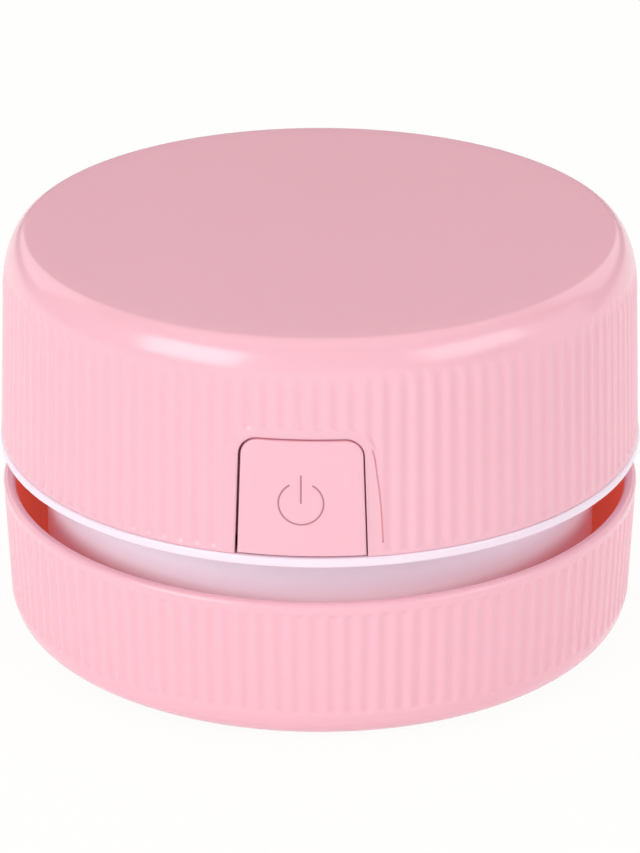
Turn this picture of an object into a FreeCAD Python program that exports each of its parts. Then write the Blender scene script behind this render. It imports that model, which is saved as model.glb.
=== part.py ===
import FreeCAD, Part
import math
import os
from FreeCAD import Vector

# Desktop crumb vacuum: a round motor housing that turns and lifts off a round base with a dust bin.
# Millimetres and degrees. Z is up, the table is z = 0, the round body's axis is the Z axis,
# and the power button faces -Y.

# Outer form
cap_radius = 44.0         # ribbed cap at its lower edge
cap_draft = 0.8           # how far the cap's wall leans in up to the shoulder
cap_height = 28.9
cap_wall = 1.6
cap_roof = 1.8
shoulder_height = 8.2     # the rounded shoulder is a quarter ellipse
shoulder_width = 3.6
ring_height = 1.3         # white ring under the cap
ring_proud = 0.2
exhaust_gap = 5.4         # open band between the ring and the base's rim
base_draft = 0.8          # the base's rim is as wide as the cap
base_height = 20.5
base_wall = 1.6
base_floor = 1.8
base_corner = 4.0
lip_round = 0.6
inner_corner = 1.2
foot_height = 0.5         # moulded ring that the vacuum stands on
foot_width = 2.8

# Ribs of the cap and the base
rib_count = 120
groove_width = 1.1
groove_depth = 0.3
cap_rib_rise = 4.6        # the grooves run out on the shoulder
cap_rib_foot = 0.5        # plain band above the white ring
base_rib_margin = 1.5     # plain band under the rim
base_rib_foot = 4.2       # plain band above the underside

# Collar and deck of the white housing
exhaust_channel = 4.35    # between the collar and the base's rim
collar_wall = 1.6
collar_drop = 13.9        # how far the collar hangs below the ring
deck_rise = 1.1           # deck's underside above the ring
deck_thickness = 1.6
locating_lip = 1.5
fit = 0.15                # clearance of parts that locate each other
touch_gap = 0.2           # clearance of parts that move past each other
overrun = 1.0             # how far a cut reaches past what it cuts
thin_round = 0.3          # edges of thin mouldings
edge_round = 0.4
bend_round = 0.8

# Power button
button_top_width = 15.2
button_foot_width = 16.8
button_height = 15.85
button_corner = 2.3
button_wall = 1.5
button_seam = 0.25        # gap round the button
button_frame = 1.4        # plain frame round the button
button_travel = 1.0
button_ear = 1.0          # reach of the inner flange that keeps the button in the cap
button_flange = 1.0
button_link_inset = 0.4   # of the layer between the tile and its flange
stem_height = 7.8         # above the white ring's top
stem_radius = 1.7
symbol_height = 7.6       # of the symbol's middle above the white ring's top
symbol_radius = 2.9
symbol_stroke = 0.3
symbol_depth = 0.2
symbol_opening = 30.0     # half of the gap at the top of the power symbol
symbol_bar = 4.1

# Dust bin and inlet
bin_wall = 1.5
bin_height = 14.7
brush_bay_depth = 4.5     # above the base's underside
duct_wall = 1.4
duct_rise = 5.1           # above the brush bay's ceiling
duct_flare = 2.2          # how much wider the inlet's mouth is than its duct
mouth_clearance = 1.2     # above the table
seal_thickness = 1.0
seal_lip = 0.55
seal_lip_depth = 1.4

# Bayonet between the bin and the housing
lug_angles = (60.0, 180.0, 300.0)
lug_half_angle = 7.0
lug_reach = 1.0
lug_thickness = 1.2
lug_drop = 3.2            # lug's upper face below the bin's top
turn_to_lock = 18.0
hook_wall = 1.4
hook_thickness = 1.4
stop_angle = 1.2
stop_play = 0.3
hook_lead = 1.0           # degrees that a hook runs past its lug

# Fan
impeller_radius = 24.0
impeller_height = 7.4
impeller_back = 1.0
blade_count = 9
blade_root = 9.0
blade_thickness = 0.9
blade_sweep = 38.0
hub_radius = 3.5
hub_round = 1.2
fan_gap = 0.8             # above and below the impeller
eye_radius = 11.5
shroud_thickness = 1.6
shroud_post_radius = 2.3
shroud_post_play = 0.7    # between the posts and the bin
shroud_post_angles = (0.0, 120.0, 240.0)

# Filter
filter_play = 0.6         # between the filter's ring and the seal's lip
filter_wall = 1.6
filter_height = 4.3
filter_seat = 2.6         # how deep the ring sits on the shroud's seat
filter_spoke = 1.6
filter_floor = 1.0
mesh_thickness = 0.4

# Motor
motor_radius = 12.0
motor_length = 16.0
motor_wall = 0.8
motor_plate = 1.0
motor_seat_height = 3.6
motor_seat_wall = 1.6
motor_boss_radius = 3.0
motor_boss_height = 1.4
shaft_radius = 1.0
shaft_play = 0.03
bush_radius = 2.2
bush_length = 2.0
rotor_radius = 8.2
rotor_length = 8.5
pole_count = 3
pole_slot = 1.6
pole_slot_root = 4.5      # from the axis to the slots' inner ends
winding_inset = 1.6       # winding's edge inside the core's
winding_rise = 1.2
magnet_gap = 0.6
magnet_half_angle = 68.0
magnet_margin = 1.5       # above the can's plate
magnet_extra = 2.5        # how much longer than the core
commutator_radius = 2.6
end_cap_boss = 2.0
end_cap_boss_wall = 1.6
shaft_end_gap = 0.4       # shaft's end below the end cap's top
terminal_width = 2.2
terminal_thickness = 0.5
terminal_height = 3.0
terminal_offset = 7.0
motor_screw_circle = 7.5

# Battery, boards and switch
cell_radius = 7.1
cell_length = 48.5
cell_play = 0.85          # between the cell and the motor's seat
cell_nub_radius = 2.8
cell_nub_height = 0.8
cradle_base = 1.0
cradle_wall = 1.6
cradle_length = 34.0
cradle_width = 10.0
tab_thickness = 0.3
tab_width = 5.0
tab_rise = 0.9            # tab's top above the cell
tab_drop = 2.0
board_thickness = 1.2
board_lift = 2.0          # height of the boards' standoffs
standoff_radius = 2.2
control_board_size = (24.0, 15.0)
switch_size = (8.0, 7.0, 7.0)
switch_setback = 1.0      # behind the control board's front edge
plunger_width = 3.0
plunger_length = 3.2
plunger_play = 0.2
plunger_reach = 1.6       # in front of the switch
charge_board_size = (19.0, 8.0)
charge_board_margin = 2.7 # between the board and the cap's inner wall
usb_width = 8.94
usb_height = 3.26
usb_depth = 7.35
usb_wall = 0.3
usb_tongue = 0.7
usb_slot_play = 0.35
usb_setback = 0.9         # socket's mouth behind the cap's inner wall
usb_back = 0.8            # thickness of the socket's rear
usb_tongue_inset = 1.2    # each side of the tongue
usb_tongue_setback = 1.0  # tongue's tip behind the mouth
usb_corner_share = 0.98   # of half the height, so that the ends are nearly round
rear_pad_width = 24.0     # plain band round the socket and the lamp
rear_pad_margin = 3.0
lamp_x = 8.2
lamp_radius = 0.9
lamp_play = 0.05
lamp_foot = 1.8
lamp_overlap = 1.5        # on the charge board
driver_chip_size = (5.0, 5.0, 0.9)
charger_chip_size = (4.0, 2.0, 0.9)
chip_margin = 0.15        # from a chip to its board's edge
header_size = (6.0, 4.0, 4.6)
header_shift = 2.5        # from the board's middle towards the button
header_margin = 0.5       # from the board's side edge
lead_radius = 0.6
lead_spacing = 2.4
lead_loop = 5.0           # height of the leads' bend above their plug
lead_lift = 2.0           # motor leads above the motor's can
cell_lead_rise = 3.5      # straight up from the cell's tabs

# Button guide and spring
guide_thickness = 1.4
guide_width = 12.0
guide_foot = 3.4
guide_margin = 2.0        # above the stem
spring_room = 3.1         # between the button's back and the guide
spring_wire = 0.2         # radius of the wire
spring_radius = 2.4
spring_turns = 4
spring_sections = 12      # sections of the wire in one turn
spring_play = 0.2

# Screws
screw_radius = 1.0
screw_head_radius = 1.8
screw_head_height = 1.2
screw_slot = 0.5
screw_hole_radius = 1.2
cap_post_radius = 2.8
cap_post_inset = 3.85     # from the deck's edge to a post's middle
cap_post_angles = (20.0, 160.0, 222.0, 318.0)
cap_screw_length = 9.0
screw_end_gap = 1.0       # hole's end past the screw's tip
shroud_screw_length = 7.0
bin_screw_length = 5.5
bin_screw_inset = 3.0     # from the bin's outside
bin_screw_angles = (0.0, 120.0, 240.0)
bin_boss_radius = 2.0
board_screw_length = 4.5
motor_screw_length = 3.2
motor_screw_sink = 1.2     # depth of the countersunk head

# Brush
bay_margin = 3.6          # between the screws' circle and the brush bay
brush_margin = 4.0        # between the bay's wall and the brush ring
brush_width = 7.4
brush_play = 1.4          # between the brush ring and the inlet's mouth
brush_holder = 1.6
socket_floor = 0.4        # holder above the tufts' roots
tuft_inset = 2.0          # from the holder's edges to the rows of tufts
inner_tufts = 26
outer_tufts = 32
tuft_radius = 0.65
tuft_flare = 0.35
tuft_clearance = 0.15     # tips above the table

# Levels, radii and places that follow
base_radius = cap_radius
base_underside = foot_height
base_rim = base_underside + base_height
flange_low = base_rim + exhaust_gap
flange_high = flange_low + ring_height
cap_top = flange_high + cap_height
shoulder_low = cap_top - shoulder_height
deck_low = flange_high + deck_rise
deck_high = deck_low + deck_thickness
collar_low = flange_low - collar_drop
collar_radius = base_radius - base_wall - exhaust_channel
collar_inner = collar_radius - collar_wall
ring_radius = cap_radius + ring_proud
shroud_post_circle = collar_inner - fit - shroud_post_radius
cap_post_circle = collar_radius - cap_post_inset
bin_radius = shroud_post_circle - shroud_post_radius - shroud_post_play
bin_screw_circle = bin_radius - bin_screw_inset
brush_bay_radius = bin_screw_circle - bay_margin
brush_outer = brush_bay_radius - brush_margin
brush_inner = brush_outer - brush_width
mouth_radius = brush_inner - brush_play - duct_wall
duct_radius = mouth_radius - duct_flare
filter_radius = bin_radius - bin_wall - fit - seal_lip - filter_play - filter_wall
cap_shoulder_radius = cap_radius - cap_draft
base_foot_radius = base_radius - base_draft
floor_top = base_underside + base_floor
bin_top = floor_top + bin_height
bay_ceiling = base_underside + brush_bay_depth
bay_top = bay_ceiling + bin_wall
duct_top = bay_ceiling + duct_rise
seal_top = bin_top + seal_thickness
shroud_low = seal_top
shroud_high = shroud_low + shroud_thickness
lug_high = bin_top - lug_drop
lug_low = lug_high - lug_thickness
hook_high = lug_low - touch_gap
hook_low = hook_high - hook_thickness
hook_reach = bin_radius + touch_gap
hook_inner = bin_radius + lug_reach + touch_gap
hook_outer = hook_inner + hook_wall
impeller_top = deck_low - fan_gap
impeller_low = impeller_top - impeller_height
filter_top = shroud_low - touch_gap
filter_low = filter_top - filter_height
seat_low = filter_top - filter_seat
mesh_low = filter_low + filter_floor
motor_top = deck_high + motor_length
motor_end = motor_top + end_cap_boss
cell_z = deck_high + cradle_base + cell_radius
board_low = deck_high + board_lift
board_high = board_low + board_thickness
stem_z = flange_high + stem_height
usb_z = board_high + usb_height / 2
symbol_z = flange_high + symbol_height
cap_inner = cap_radius - cap_wall
button_back = cap_shoulder_radius - cap_wall - touch_gap - button_flange
guide_front = -button_back + spring_room
control_board_y = guide_front + guide_foot + control_board_size[1] / 2
header_y = control_board_y - header_shift
cell_y = motor_radius + fit + motor_seat_wall + cell_play + cell_radius
charge_board_y = cap_inner - charge_board_margin - charge_board_size[1] / 2


def wall_radius(foot_radius, top_radius, low, high, z):
    """Radius of a leaning wall at height z."""
    return foot_radius + (top_radius - foot_radius) * (z - low) / (high - low)


def cap_radius_at(z):
    return wall_radius(cap_radius, cap_shoulder_radius, flange_high, shoulder_low, z)


def base_radius_at(z):
    return wall_radius(base_foot_radius, base_radius, base_underside, base_rim, z)


def polar(radius, angle, z=0.0):
    turn = math.radians(angle)
    return Vector(radius * math.cos(turn), radius * math.sin(turn), z)


def corner_arc(before, corner, after, radius):
    """Tangent arc at a corner, as its start, middle and end."""
    back = (before - corner).normalize()
    ahead = (after - corner).normalize()
    half = back.getAngle(ahead) / 2
    reach = min(radius / math.tan(half), 0.45 * (before - corner).Length, 0.45 * (after - corner).Length)
    real_radius = reach * math.tan(half)
    bisector = (back + ahead).normalize()
    centre = corner + bisector * (real_radius / math.sin(half))
    return corner + back * reach, centre - bisector * real_radius, corner + ahead * reach


def closed_wire(points, place):
    """Closed wire through (a, b, corner radius) points, placed in space by place(a, b)."""
    spots = [place(p[0], p[1]) for p in points]
    rounds = [p[2] if len(p) > 2 else 0.0 for p in points]
    edges = []
    joints = []
    for i, spot in enumerate(spots):
        if rounds[i] > 0:
            start, middle, end = corner_arc(spots[i - 1], spot, spots[(i + 1) % len(spots)], rounds[i])
            edges.append((i, Part.Arc(start, middle, end).toShape()))
            joints.append((start, end))
        else:
            joints.append((spot, spot))
    run = []
    for i in range(len(spots)):
        run += [edge for k, edge in edges if k == i]
        end, start = joints[i][1], joints[(i + 1) % len(spots)][0]
        if (end - start).Length > 1e-6:
            run.append(Part.LineSegment(end, start).toShape())
    return Part.Wire(run)


def turned(points):
    """Solid of revolution about Z from a closed (radius, height, corner radius) section."""
    face = Part.Face(closed_wire(points, lambda r, z: Vector(r, 0, z)))
    return face.revolve(Vector(0, 0, 0), Vector(0, 0, 1), 360)


def extruded(points, low, high):
    """Prism along Z from a closed (x, y, corner radius) outline."""
    face = Part.Face(closed_wire(points, lambda x, y: Vector(x, y, low)))
    return face.extrude(Vector(0, 0, high - low))


def prism_y(points, near, far):
    """Prism along Y from a closed (x, z, corner radius) outline."""
    face = Part.Face(closed_wire(points, lambda x, z: Vector(x, near, z)))
    return face.extrude(Vector(0, far - near, 0))


def ring(outer, inner, low, high):
    return turned([(inner, low), (outer, low), (outer, high), (inner, high)])


def disc(radius, low, high, x=0.0, y=0.0):
    return Part.makeCylinder(radius, high - low, Vector(x, y, low))


def disc_y(radius, near, far, x, z):
    return Part.makeCylinder(radius, far - near, Vector(x, near, z), Vector(0, 1, 0))


def block(width, depth, height, x, y, low):
    """Box centred on x and y, standing on low."""
    return Part.makeBox(width, depth, height, Vector(x - width / 2, y - depth / 2, low))


def sector(outer, inner, low, high, start, end):
    """Part of a ring between two angles."""
    face = Part.Face(closed_wire([(inner, low), (outer, low), (outer, high), (inner, high)],
                                 lambda r, z: Vector(r, 0, z)))
    solid = face.revolve(Vector(0, 0, 0), Vector(0, 0, 1), end - start)
    solid.rotate(Vector(0, 0, 0), Vector(0, 0, 1), start)
    return solid


def screw(spot, length, up=True):
    """Pan head screw whose head's bearing face is at spot, with its thread going up or down."""
    way = Vector(0, 0, 1 if up else -1)
    head = Part.makeCylinder(screw_head_radius, screw_head_height, spot, way * -1)
    shank = Part.makeCylinder(screw_radius, length, spot, way)
    solid = head.fuse(shank)
    slot_depth = screw_head_height / 2
    middle = spot - way * (screw_head_height - slot_depth / 2)
    for width, depth in ((2 * screw_head_radius, screw_slot), (screw_slot, 2 * screw_head_radius)):
        arm = Part.makeBox(width * 0.7 if width > depth else width, depth * 0.7 if depth > width else depth,
                           slot_depth)
        centre = arm.BoundBox.Center
        arm.translate(middle - centre)
        solid = solid.cut(arm)
    return solid


def rib_grooves(radius_at, spans):
    """Cutters for the grooves between the ribs. spans gives each angle's lower and upper end."""
    tool_radius = (groove_width ** 2 / 4 + groove_depth ** 2) / (2 * groove_depth)
    stand_off = tool_radius - groove_depth
    cutters = []
    for k in range(rib_count):
        angle = (k + 0.5) * 360.0 / rib_count
        for low, high in spans(angle):
            start = polar(radius_at(low) + stand_off, angle, low)
            end = polar(radius_at(high) + stand_off, angle, high)
            run = end - start
            cutters.append(Part.makeCylinder(tool_radius, run.Length, start, run))
    return cutters


def side_of(angle, facing):
    """Signed angle from the direction that a feature faces."""
    return (angle - facing + 180.0) % 360.0 - 180.0


# The button's outline, in x and z

def button_outline(grow, low):
    top = flange_high + button_seam + button_height + grow
    foot_half = button_foot_width / 2 + grow
    top_half = button_top_width / 2 + grow
    return [(-foot_half, low), (foot_half, low),
            (top_half, top, button_corner + grow), (-top_half, top, button_corner + grow)]


def cap_rib_spans(angle):
    low = flange_high + cap_rib_foot
    high = shoulder_low + cap_rib_rise
    at_button = side_of(angle, 270.0)
    frame_half = math.degrees((button_foot_width / 2 + button_frame) / cap_radius)
    if abs(at_button) < frame_half:
        return [(flange_high + button_seam + button_height + button_frame, high)]
    pad_half = math.degrees(rear_pad_width / 2 / cap_radius)
    if abs(side_of(angle, 90.0)) < pad_half:
        return [(usb_z + usb_height / 2 + rear_pad_margin, high)]
    return [(low, high)]


def top_cap():
    """Ribbed cap with the button's opening, the socket's slot and four screw posts."""
    inner_shoulder = cap_shoulder_radius - cap_wall
    flat_radius = cap_shoulder_radius - shoulder_width
    roof_low = cap_top - cap_roof

    def shoulder(radius, width, height):
        centre = Vector(radius - width, 0, shoulder_low)
        side = Vector(radius, 0, shoulder_low)
        peak = Vector(radius - width, 0, shoulder_low + height)
        longer, shorter = (peak, side) if height > width else (side, peak)
        curve = Part.Ellipse(longer, shorter, centre)
        first, last = sorted((curve.parameter(side), curve.parameter(peak)))
        if last - first > math.pi:
            first, last = last, first + 2 * math.pi
        return curve.toShape(first, last), side, peak

    outer_arc, outer_side, outer_peak = shoulder(cap_shoulder_radius, shoulder_width, shoulder_height)
    inner_arc, inner_side, inner_peak = shoulder(inner_shoulder, inner_shoulder - flat_radius,
                                                 roof_low - shoulder_low)
    outer_foot = Vector(cap_radius, 0, flange_high)
    inner_foot = Vector(cap_inner, 0, flange_high)
    axis_top, axis_low = Vector(0, 0, cap_top), Vector(0, 0, roof_low)
    runs = [(axis_low, inner_peak), (inner_side, inner_foot), (inner_foot, outer_foot),
            (outer_foot, outer_side), (outer_peak, axis_top), (axis_top, axis_low)]
    edges = [Part.LineSegment(a, b).toShape() for a, b in runs] + [outer_arc, inner_arc]
    section = Part.Face(Part.Wire(Part.__sortEdges__(edges)))
    cap = section.revolve(Vector(0, 0, 0), Vector(0, 0, 1), 360)
    posts = []
    holes = []
    for angle in cap_post_angles:
        spot = polar(cap_post_circle, angle)
        hole_top = deck_high + cap_screw_length + screw_end_gap
        posts.append(disc(cap_post_radius, deck_high, roof_low + cap_roof / 2, spot.x, spot.y))
        holes.append(disc(screw_radius, deck_high, hole_top, spot.x, spot.y))
    cap = cap.fuse(posts)
    opening = prism_y(button_outline(button_seam, flange_high - overrun), -cap_radius - overrun,
                      -cap_inner / 2)
    usb_half = usb_width / 2 + usb_slot_play
    usb_rise = usb_height / 2 + usb_slot_play
    slot = prism_y([(-usb_half, usb_z - usb_rise, usb_rise), (usb_half, usb_z - usb_rise, usb_rise),
                    (usb_half, usb_z + usb_rise, usb_rise), (-usb_half, usb_z + usb_rise, usb_rise)],
                   cap_inner / 2, cap_radius + overrun)
    lamp = disc_y(lamp_radius, cap_inner / 2, cap_radius + overrun, lamp_x, usb_z)
    return cap.cut(rib_grooves(cap_radius_at, cap_rib_spans) + holes + [opening, slot, lamp])


def inner_housing():
    """White deck that carries the motor, the cell and the boards, with a skirt down to the ring."""
    bore = motor_boss_radius + touch_gap
    deck = turned([(bore, deck_low), (collar_inner, deck_low), (collar_inner, flange_high),
                   (collar_radius, flange_high), (collar_radius, deck_high, edge_round), (bore, deck_high)])
    holes = []
    for angle in cap_post_angles:
        spot = polar(cap_post_circle, angle)
        holes.append(disc(screw_hole_radius, deck_low, deck_high, spot.x, spot.y))
    for x, y in board_fixings():
        holes.append(disc(screw_radius, deck_low + deck_thickness / 2, deck_high, x, y))
    for side in (-1, 1):
        holes.append(motor_screw_cone(side, fit))
        holes.append(disc(screw_hole_radius, deck_low, deck_high, side * motor_screw_circle, 0))
    return deck.cut(holes)


def white_ring():
    """Ring between the cap and the collar, with the lip that locates the cap."""
    flange = turned([(collar_inner, flange_low), (ring_radius, flange_low, thin_round),
                     (ring_radius, flange_high, thin_round), (collar_inner, flange_high)])
    lip_outer = cap_inner - fit
    lip = ring(lip_outer, lip_outer - cap_wall, flange_high, flange_high + locating_lip)
    button_room = block(button_foot_width + 2 * (button_ear + 2 * button_seam), cap_radius, cap_height,
                        0, -cap_radius, flange_high)
    usb_room = block(rear_pad_width, cap_radius, cap_height, 0, cap_radius, flange_high)
    return flange.fuse(lip.cut([button_room, usb_room]))


def housing_collar():
    """White collar that hangs from the ring into the base and turns the fan's air upwards."""
    return turned([(collar_inner, collar_low), (collar_radius, collar_low, edge_round),
                   (collar_radius, flange_low), (collar_inner, flange_low)])


def motor_seat():
    """Ring on the deck that the motor's can stands in."""
    inner = motor_radius + fit
    return ring(inner + motor_seat_wall, inner, deck_high, deck_high + motor_seat_height)


def board_posts():
    """Standoffs of the two boards."""
    posts = []
    for x, y in board_fixings():
        hole = disc(screw_radius, deck_high, board_low, x, y)
        posts.append(disc(standoff_radius, deck_high, board_low, x, y).cut(hole))
    return posts


def shroud_posts():
    """Posts under the deck that carry the fan's shroud."""
    posts = []
    for angle in shroud_post_angles:
        spot = polar(shroud_post_circle, angle)
        hole = disc(screw_radius, shroud_high, shroud_high + shroud_screw_length, spot.x, spot.y)
        posts.append(disc(shroud_post_radius, shroud_high, deck_low, spot.x, spot.y).cut(hole))
    return posts


def board_fixings():
    """Screw places of the two boards, in x and y."""
    control_x = control_board_size[0] / 2 - standoff_radius
    charge_x = charge_board_size[0] / 2 - standoff_radius
    charge_y = charge_board_y - charge_board_size[1] / 2 + standoff_radius
    control_y = control_board_y + control_board_size[1] / 2 - standoff_radius
    return [(-control_x, control_y), (control_x, control_y), (-charge_x, charge_y), (charge_x, charge_y)]


def motor_screw_cone(side, play):
    """Countersunk head of a motor screw, flush with the deck's underside."""
    spot = Vector(side * motor_screw_circle, 0, deck_low)
    return Part.makeCone(screw_head_radius + play, screw_radius, motor_screw_sink, spot)


def motor_screws():
    screws = []
    for side in (-1, 1):
        spot = Vector(side * motor_screw_circle, 0, deck_low)
        shank = Part.makeCylinder(screw_radius, motor_screw_length, spot)
        slot = block(2 * screw_radius, screw_slot, screw_slot, spot.x, 0, deck_low)
        screws.append(motor_screw_cone(side, 0).fuse(shank).cut(slot))
    return screws


def base_rib_spans(angle):
    return [(base_underside + base_rib_foot, base_rim - base_rib_margin)]


def base_shell():
    """Ribbed base: a cup with a central hole for the brush and the inlet."""
    hole = brush_bay_radius + fit
    foot_outer = base_foot_radius - base_corner - fit
    shell = turned([
        (hole, base_underside), (foot_outer - foot_width, base_underside),
        (foot_outer - foot_width, 0.0), (foot_outer, 0.0), (foot_outer, base_underside),
        (base_foot_radius, base_underside, base_corner),
        (base_radius, base_rim, lip_round), (base_radius - base_wall, base_rim, lip_round),
        (base_foot_radius - base_wall, floor_top, inner_corner), (hole, floor_top)])
    holes = []
    for angle in bin_screw_angles:
        spot = polar(bin_screw_circle, angle)
        holes.append(disc(screw_hole_radius, base_underside, floor_top, spot.x, spot.y))
        holes.append(disc(screw_head_radius + fit, base_underside,
                          base_underside + screw_head_height, spot.x, spot.y))
    return shell.cut(rib_grooves(base_radius_at, base_rib_spans) + holes)


def dust_bin():
    """Wall of the bin with its bayonet lugs."""
    wall = ring(bin_radius, bin_radius - bin_wall, floor_top + bin_wall, bin_top)
    lugs = [sector(bin_radius + lug_reach, bin_radius - bin_wall / 2, lug_low, lug_high,
                   angle - lug_half_angle, angle + lug_half_angle) for angle in lug_angles]
    return wall.fuse(lugs)


def bin_floor():
    """Floor of the bin round the brush bay, with three screw bosses."""
    riser = brush_bay_radius + bin_wall
    floor_high = floor_top + bin_wall
    floor = turned([(brush_bay_radius, floor_top), (bin_radius, floor_top), (bin_radius, floor_high),
                    (riser, floor_high), (riser, bay_ceiling), (brush_bay_radius, bay_ceiling)])
    room = disc(bin_radius - bin_wall - fit, floor_top, floor_top + bin_height)
    bosses = []
    holes = []
    for angle in bin_screw_angles:
        spot = polar(bin_screw_circle, angle)
        bosses.append(disc(bin_boss_radius, floor_top + bin_wall / 2,
                           floor_top + bin_screw_length, spot.x, spot.y).common(room))
        holes.append(disc(screw_radius, floor_top, floor_top + bin_screw_length - bin_wall / 2,
                          spot.x, spot.y))
    return floor.fuse(bosses).cut(holes)


def bay_plate():
    """Ceiling of the brush bay, which is the bin's raised middle."""
    return ring(brush_bay_radius + bin_wall, duct_radius + duct_wall + fit, bay_ceiling, bay_top)


def inlet_duct():
    """Suction inlet: a flared mouth under the bay's ceiling and a duct up into the bin."""
    outer = duct_radius + duct_wall
    return turned([(duct_radius, bay_ceiling, bend_round), (mouth_radius, mouth_clearance),
                   (mouth_radius + duct_wall, mouth_clearance), (mouth_radius + duct_wall, bay_ceiling),
                   (outer, bay_ceiling), (outer, duct_top, edge_round), (duct_radius, duct_top, edge_round)])


def bin_screws():
    seat = base_underside + screw_head_height
    length = bin_screw_length - bin_wall / 2 - fit
    return [screw(polar(bin_screw_circle, angle, seat), length) for angle in bin_screw_angles]


def bin_seal():
    """Rubber seal that sits on the bin's edge with a lip inside it."""
    lip_outer = bin_radius - bin_wall - fit
    lip_inner = lip_outer - seal_lip
    return turned([(lip_inner, bin_top - seal_lip_depth), (lip_outer, bin_top - seal_lip_depth),
                   (lip_outer, bin_top), (bin_radius, bin_top), (bin_radius, seal_top, thin_round),
                   (lip_inner, seal_top, thin_round)])


def fan_shroud():
    """Plate under the fan with its eye, the filter's seat and three ears."""
    seat_outer = filter_radius - touch_gap
    plate = turned([
        (eye_radius, shroud_low), (seat_outer - hook_wall, shroud_low),
        (seat_outer - hook_wall, seat_low), (seat_outer, seat_low, edge_round),
        (seat_outer, shroud_low), (hook_outer, shroud_low), (hook_outer, shroud_high, edge_round),
        (eye_radius, shroud_high, bend_round)])
    ears = []
    holes = []
    for angle in shroud_post_angles:
        spot = polar(shroud_post_circle, angle)
        ears.append(disc(shroud_post_radius, shroud_low, shroud_high, spot.x, spot.y))
        holes.append(disc(screw_hole_radius, shroud_low, shroud_high, spot.x, spot.y))
    return plate.fuse(ears).cut(holes)


def bayonet_hooks():
    """Hooks under the shroud that catch the bin's lugs, each with an end stop and an entry stop."""
    hooks = []
    for angle in lug_angles:
        start = angle + turn_to_lock - lug_half_angle - hook_lead
        end = angle + turn_to_lock + lug_half_angle + stop_play + stop_angle
        wall = sector(hook_outer, hook_inner, hook_low, shroud_low, start, end)
        ledge = sector(hook_outer, hook_reach, hook_low, hook_high, start, end)
        stop = sector(hook_outer, hook_reach, hook_low, shroud_low, end - stop_angle, end)
        hooks.append(wall.fuse([ledge, stop]))
        entry = angle - lug_half_angle - stop_play
        hooks.append(sector(hook_outer, hook_reach, lug_low, shroud_low, entry - stop_angle, entry))
    return hooks


def shroud_screws():
    return [screw(polar(shroud_post_circle, angle, shroud_low), shroud_screw_length)
            for angle in shroud_post_angles]


def cap_screws():
    return [screw(polar(cap_post_circle, angle, deck_low), deck_thickness + cap_screw_length)
            for angle in cap_post_angles]


def impeller():
    """Backward curved blades under a plate, on a hub."""
    back_low = impeller_top - impeller_back
    wheel = turned([(shaft_radius, impeller_low), (hub_radius, impeller_low, hub_round),
                    (hub_radius, back_low, bend_round), (impeller_radius, back_low),
                    (impeller_radius, impeller_top), (shaft_radius, impeller_top)])
    blades = []
    for k in range(blade_count):
        turn = k * 360.0 / blade_count
        faces = []
        for shift in (0.0, 1.0):
            spots = []
            for share in (0.0, 0.5, 1.0):
                radius = blade_root + (impeller_radius - blade_root) * share
                lean = math.degrees(blade_thickness * shift / radius)
                spots.append(polar(radius, turn - blade_sweep * share + lean, impeller_low))
            faces.append(spots)
        front, rear = faces
        wire = Part.Wire([Part.Arc(*front).toShape(), Part.LineSegment(front[2], rear[2]).toShape(),
                          Part.Arc(rear[2], rear[1], rear[0]).toShape(),
                          Part.LineSegment(rear[0], front[0]).toShape()])
        blades.append(Part.Face(wire).extrude(Vector(0, 0, back_low - impeller_low + impeller_back / 2)))
    return wheel.fuse(blades)


def motor_can():
    """Drawn steel can with its front boss; the screw holes are in its closed end."""
    can = turned([
        (bush_radius, deck_high - motor_boss_height), (motor_boss_radius, deck_high - motor_boss_height),
        (motor_boss_radius, deck_high), (motor_radius, deck_high, bend_round), (motor_radius, motor_top),
        (motor_radius - motor_wall, motor_top), (motor_radius - motor_wall, deck_high + motor_plate),
        (bush_radius, deck_high + motor_plate)])
    holes = [disc(screw_radius, deck_high, deck_high + motor_plate, side * motor_screw_circle, 0)
             for side in (-1, 1)]
    return can.cut(holes)


def motor_end_cap():
    """Plastic end cap that closes the can and holds the rear bush."""
    inside = motor_radius - motor_wall
    boss = bush_radius + end_cap_boss_wall
    cap = turned([(bush_radius, motor_top - motor_plate), (inside, motor_top - motor_plate),
                  (inside, motor_top), (boss, motor_top),
                  (boss, motor_end, edge_round), (bush_radius, motor_end)])
    slots = [block(terminal_width, terminal_thickness, motor_plate, side * terminal_offset, 0,
                   motor_top - motor_plate) for side in (-1, 1)]
    return cap.cut(slots)


def motor_terminals():
    return [block(terminal_width, terminal_thickness, motor_plate + terminal_height,
                  side * terminal_offset, 0, motor_top - motor_plate) for side in (-1, 1)]


def motor_bushes():
    """Two sintered bushes that carry the shaft."""
    front_low = deck_high - motor_boss_height
    return [ring(bush_radius, shaft_radius + shaft_play, front_low, front_low + bush_length),
            ring(bush_radius, shaft_radius + shaft_play, motor_end - bush_length, motor_end)]


def motor_shaft():
    return disc(shaft_radius, impeller_low, motor_end - shaft_end_gap)


def motor_rotor():
    """Slotted iron core with its windings' ends and the commutator."""
    core_low = deck_high + (motor_length - rotor_length) / 2
    core_high = core_low + rotor_length
    core = ring(rotor_radius, shaft_radius, core_low, core_high)
    slots = []
    for k in range(pole_count):
        slot = block(rotor_radius, pole_slot, rotor_length, rotor_radius / 2 + pole_slot_root, 0, core_low)
        slot.rotate(Vector(0, 0, 0), Vector(0, 0, 1), k * 360.0 / pole_count)
        slots.append(slot)
    core = core.cut(slots)
    winding_radius = rotor_radius - winding_inset
    lower = ring(winding_radius, shaft_radius, core_low - winding_rise, core_low)
    upper = ring(winding_radius, shaft_radius, core_high, core_high + winding_rise)
    commutator = ring(commutator_radius, shaft_radius, core_high + winding_rise,
                      motor_top - motor_plate - fit)
    return core.fuse([lower, upper, commutator])


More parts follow.
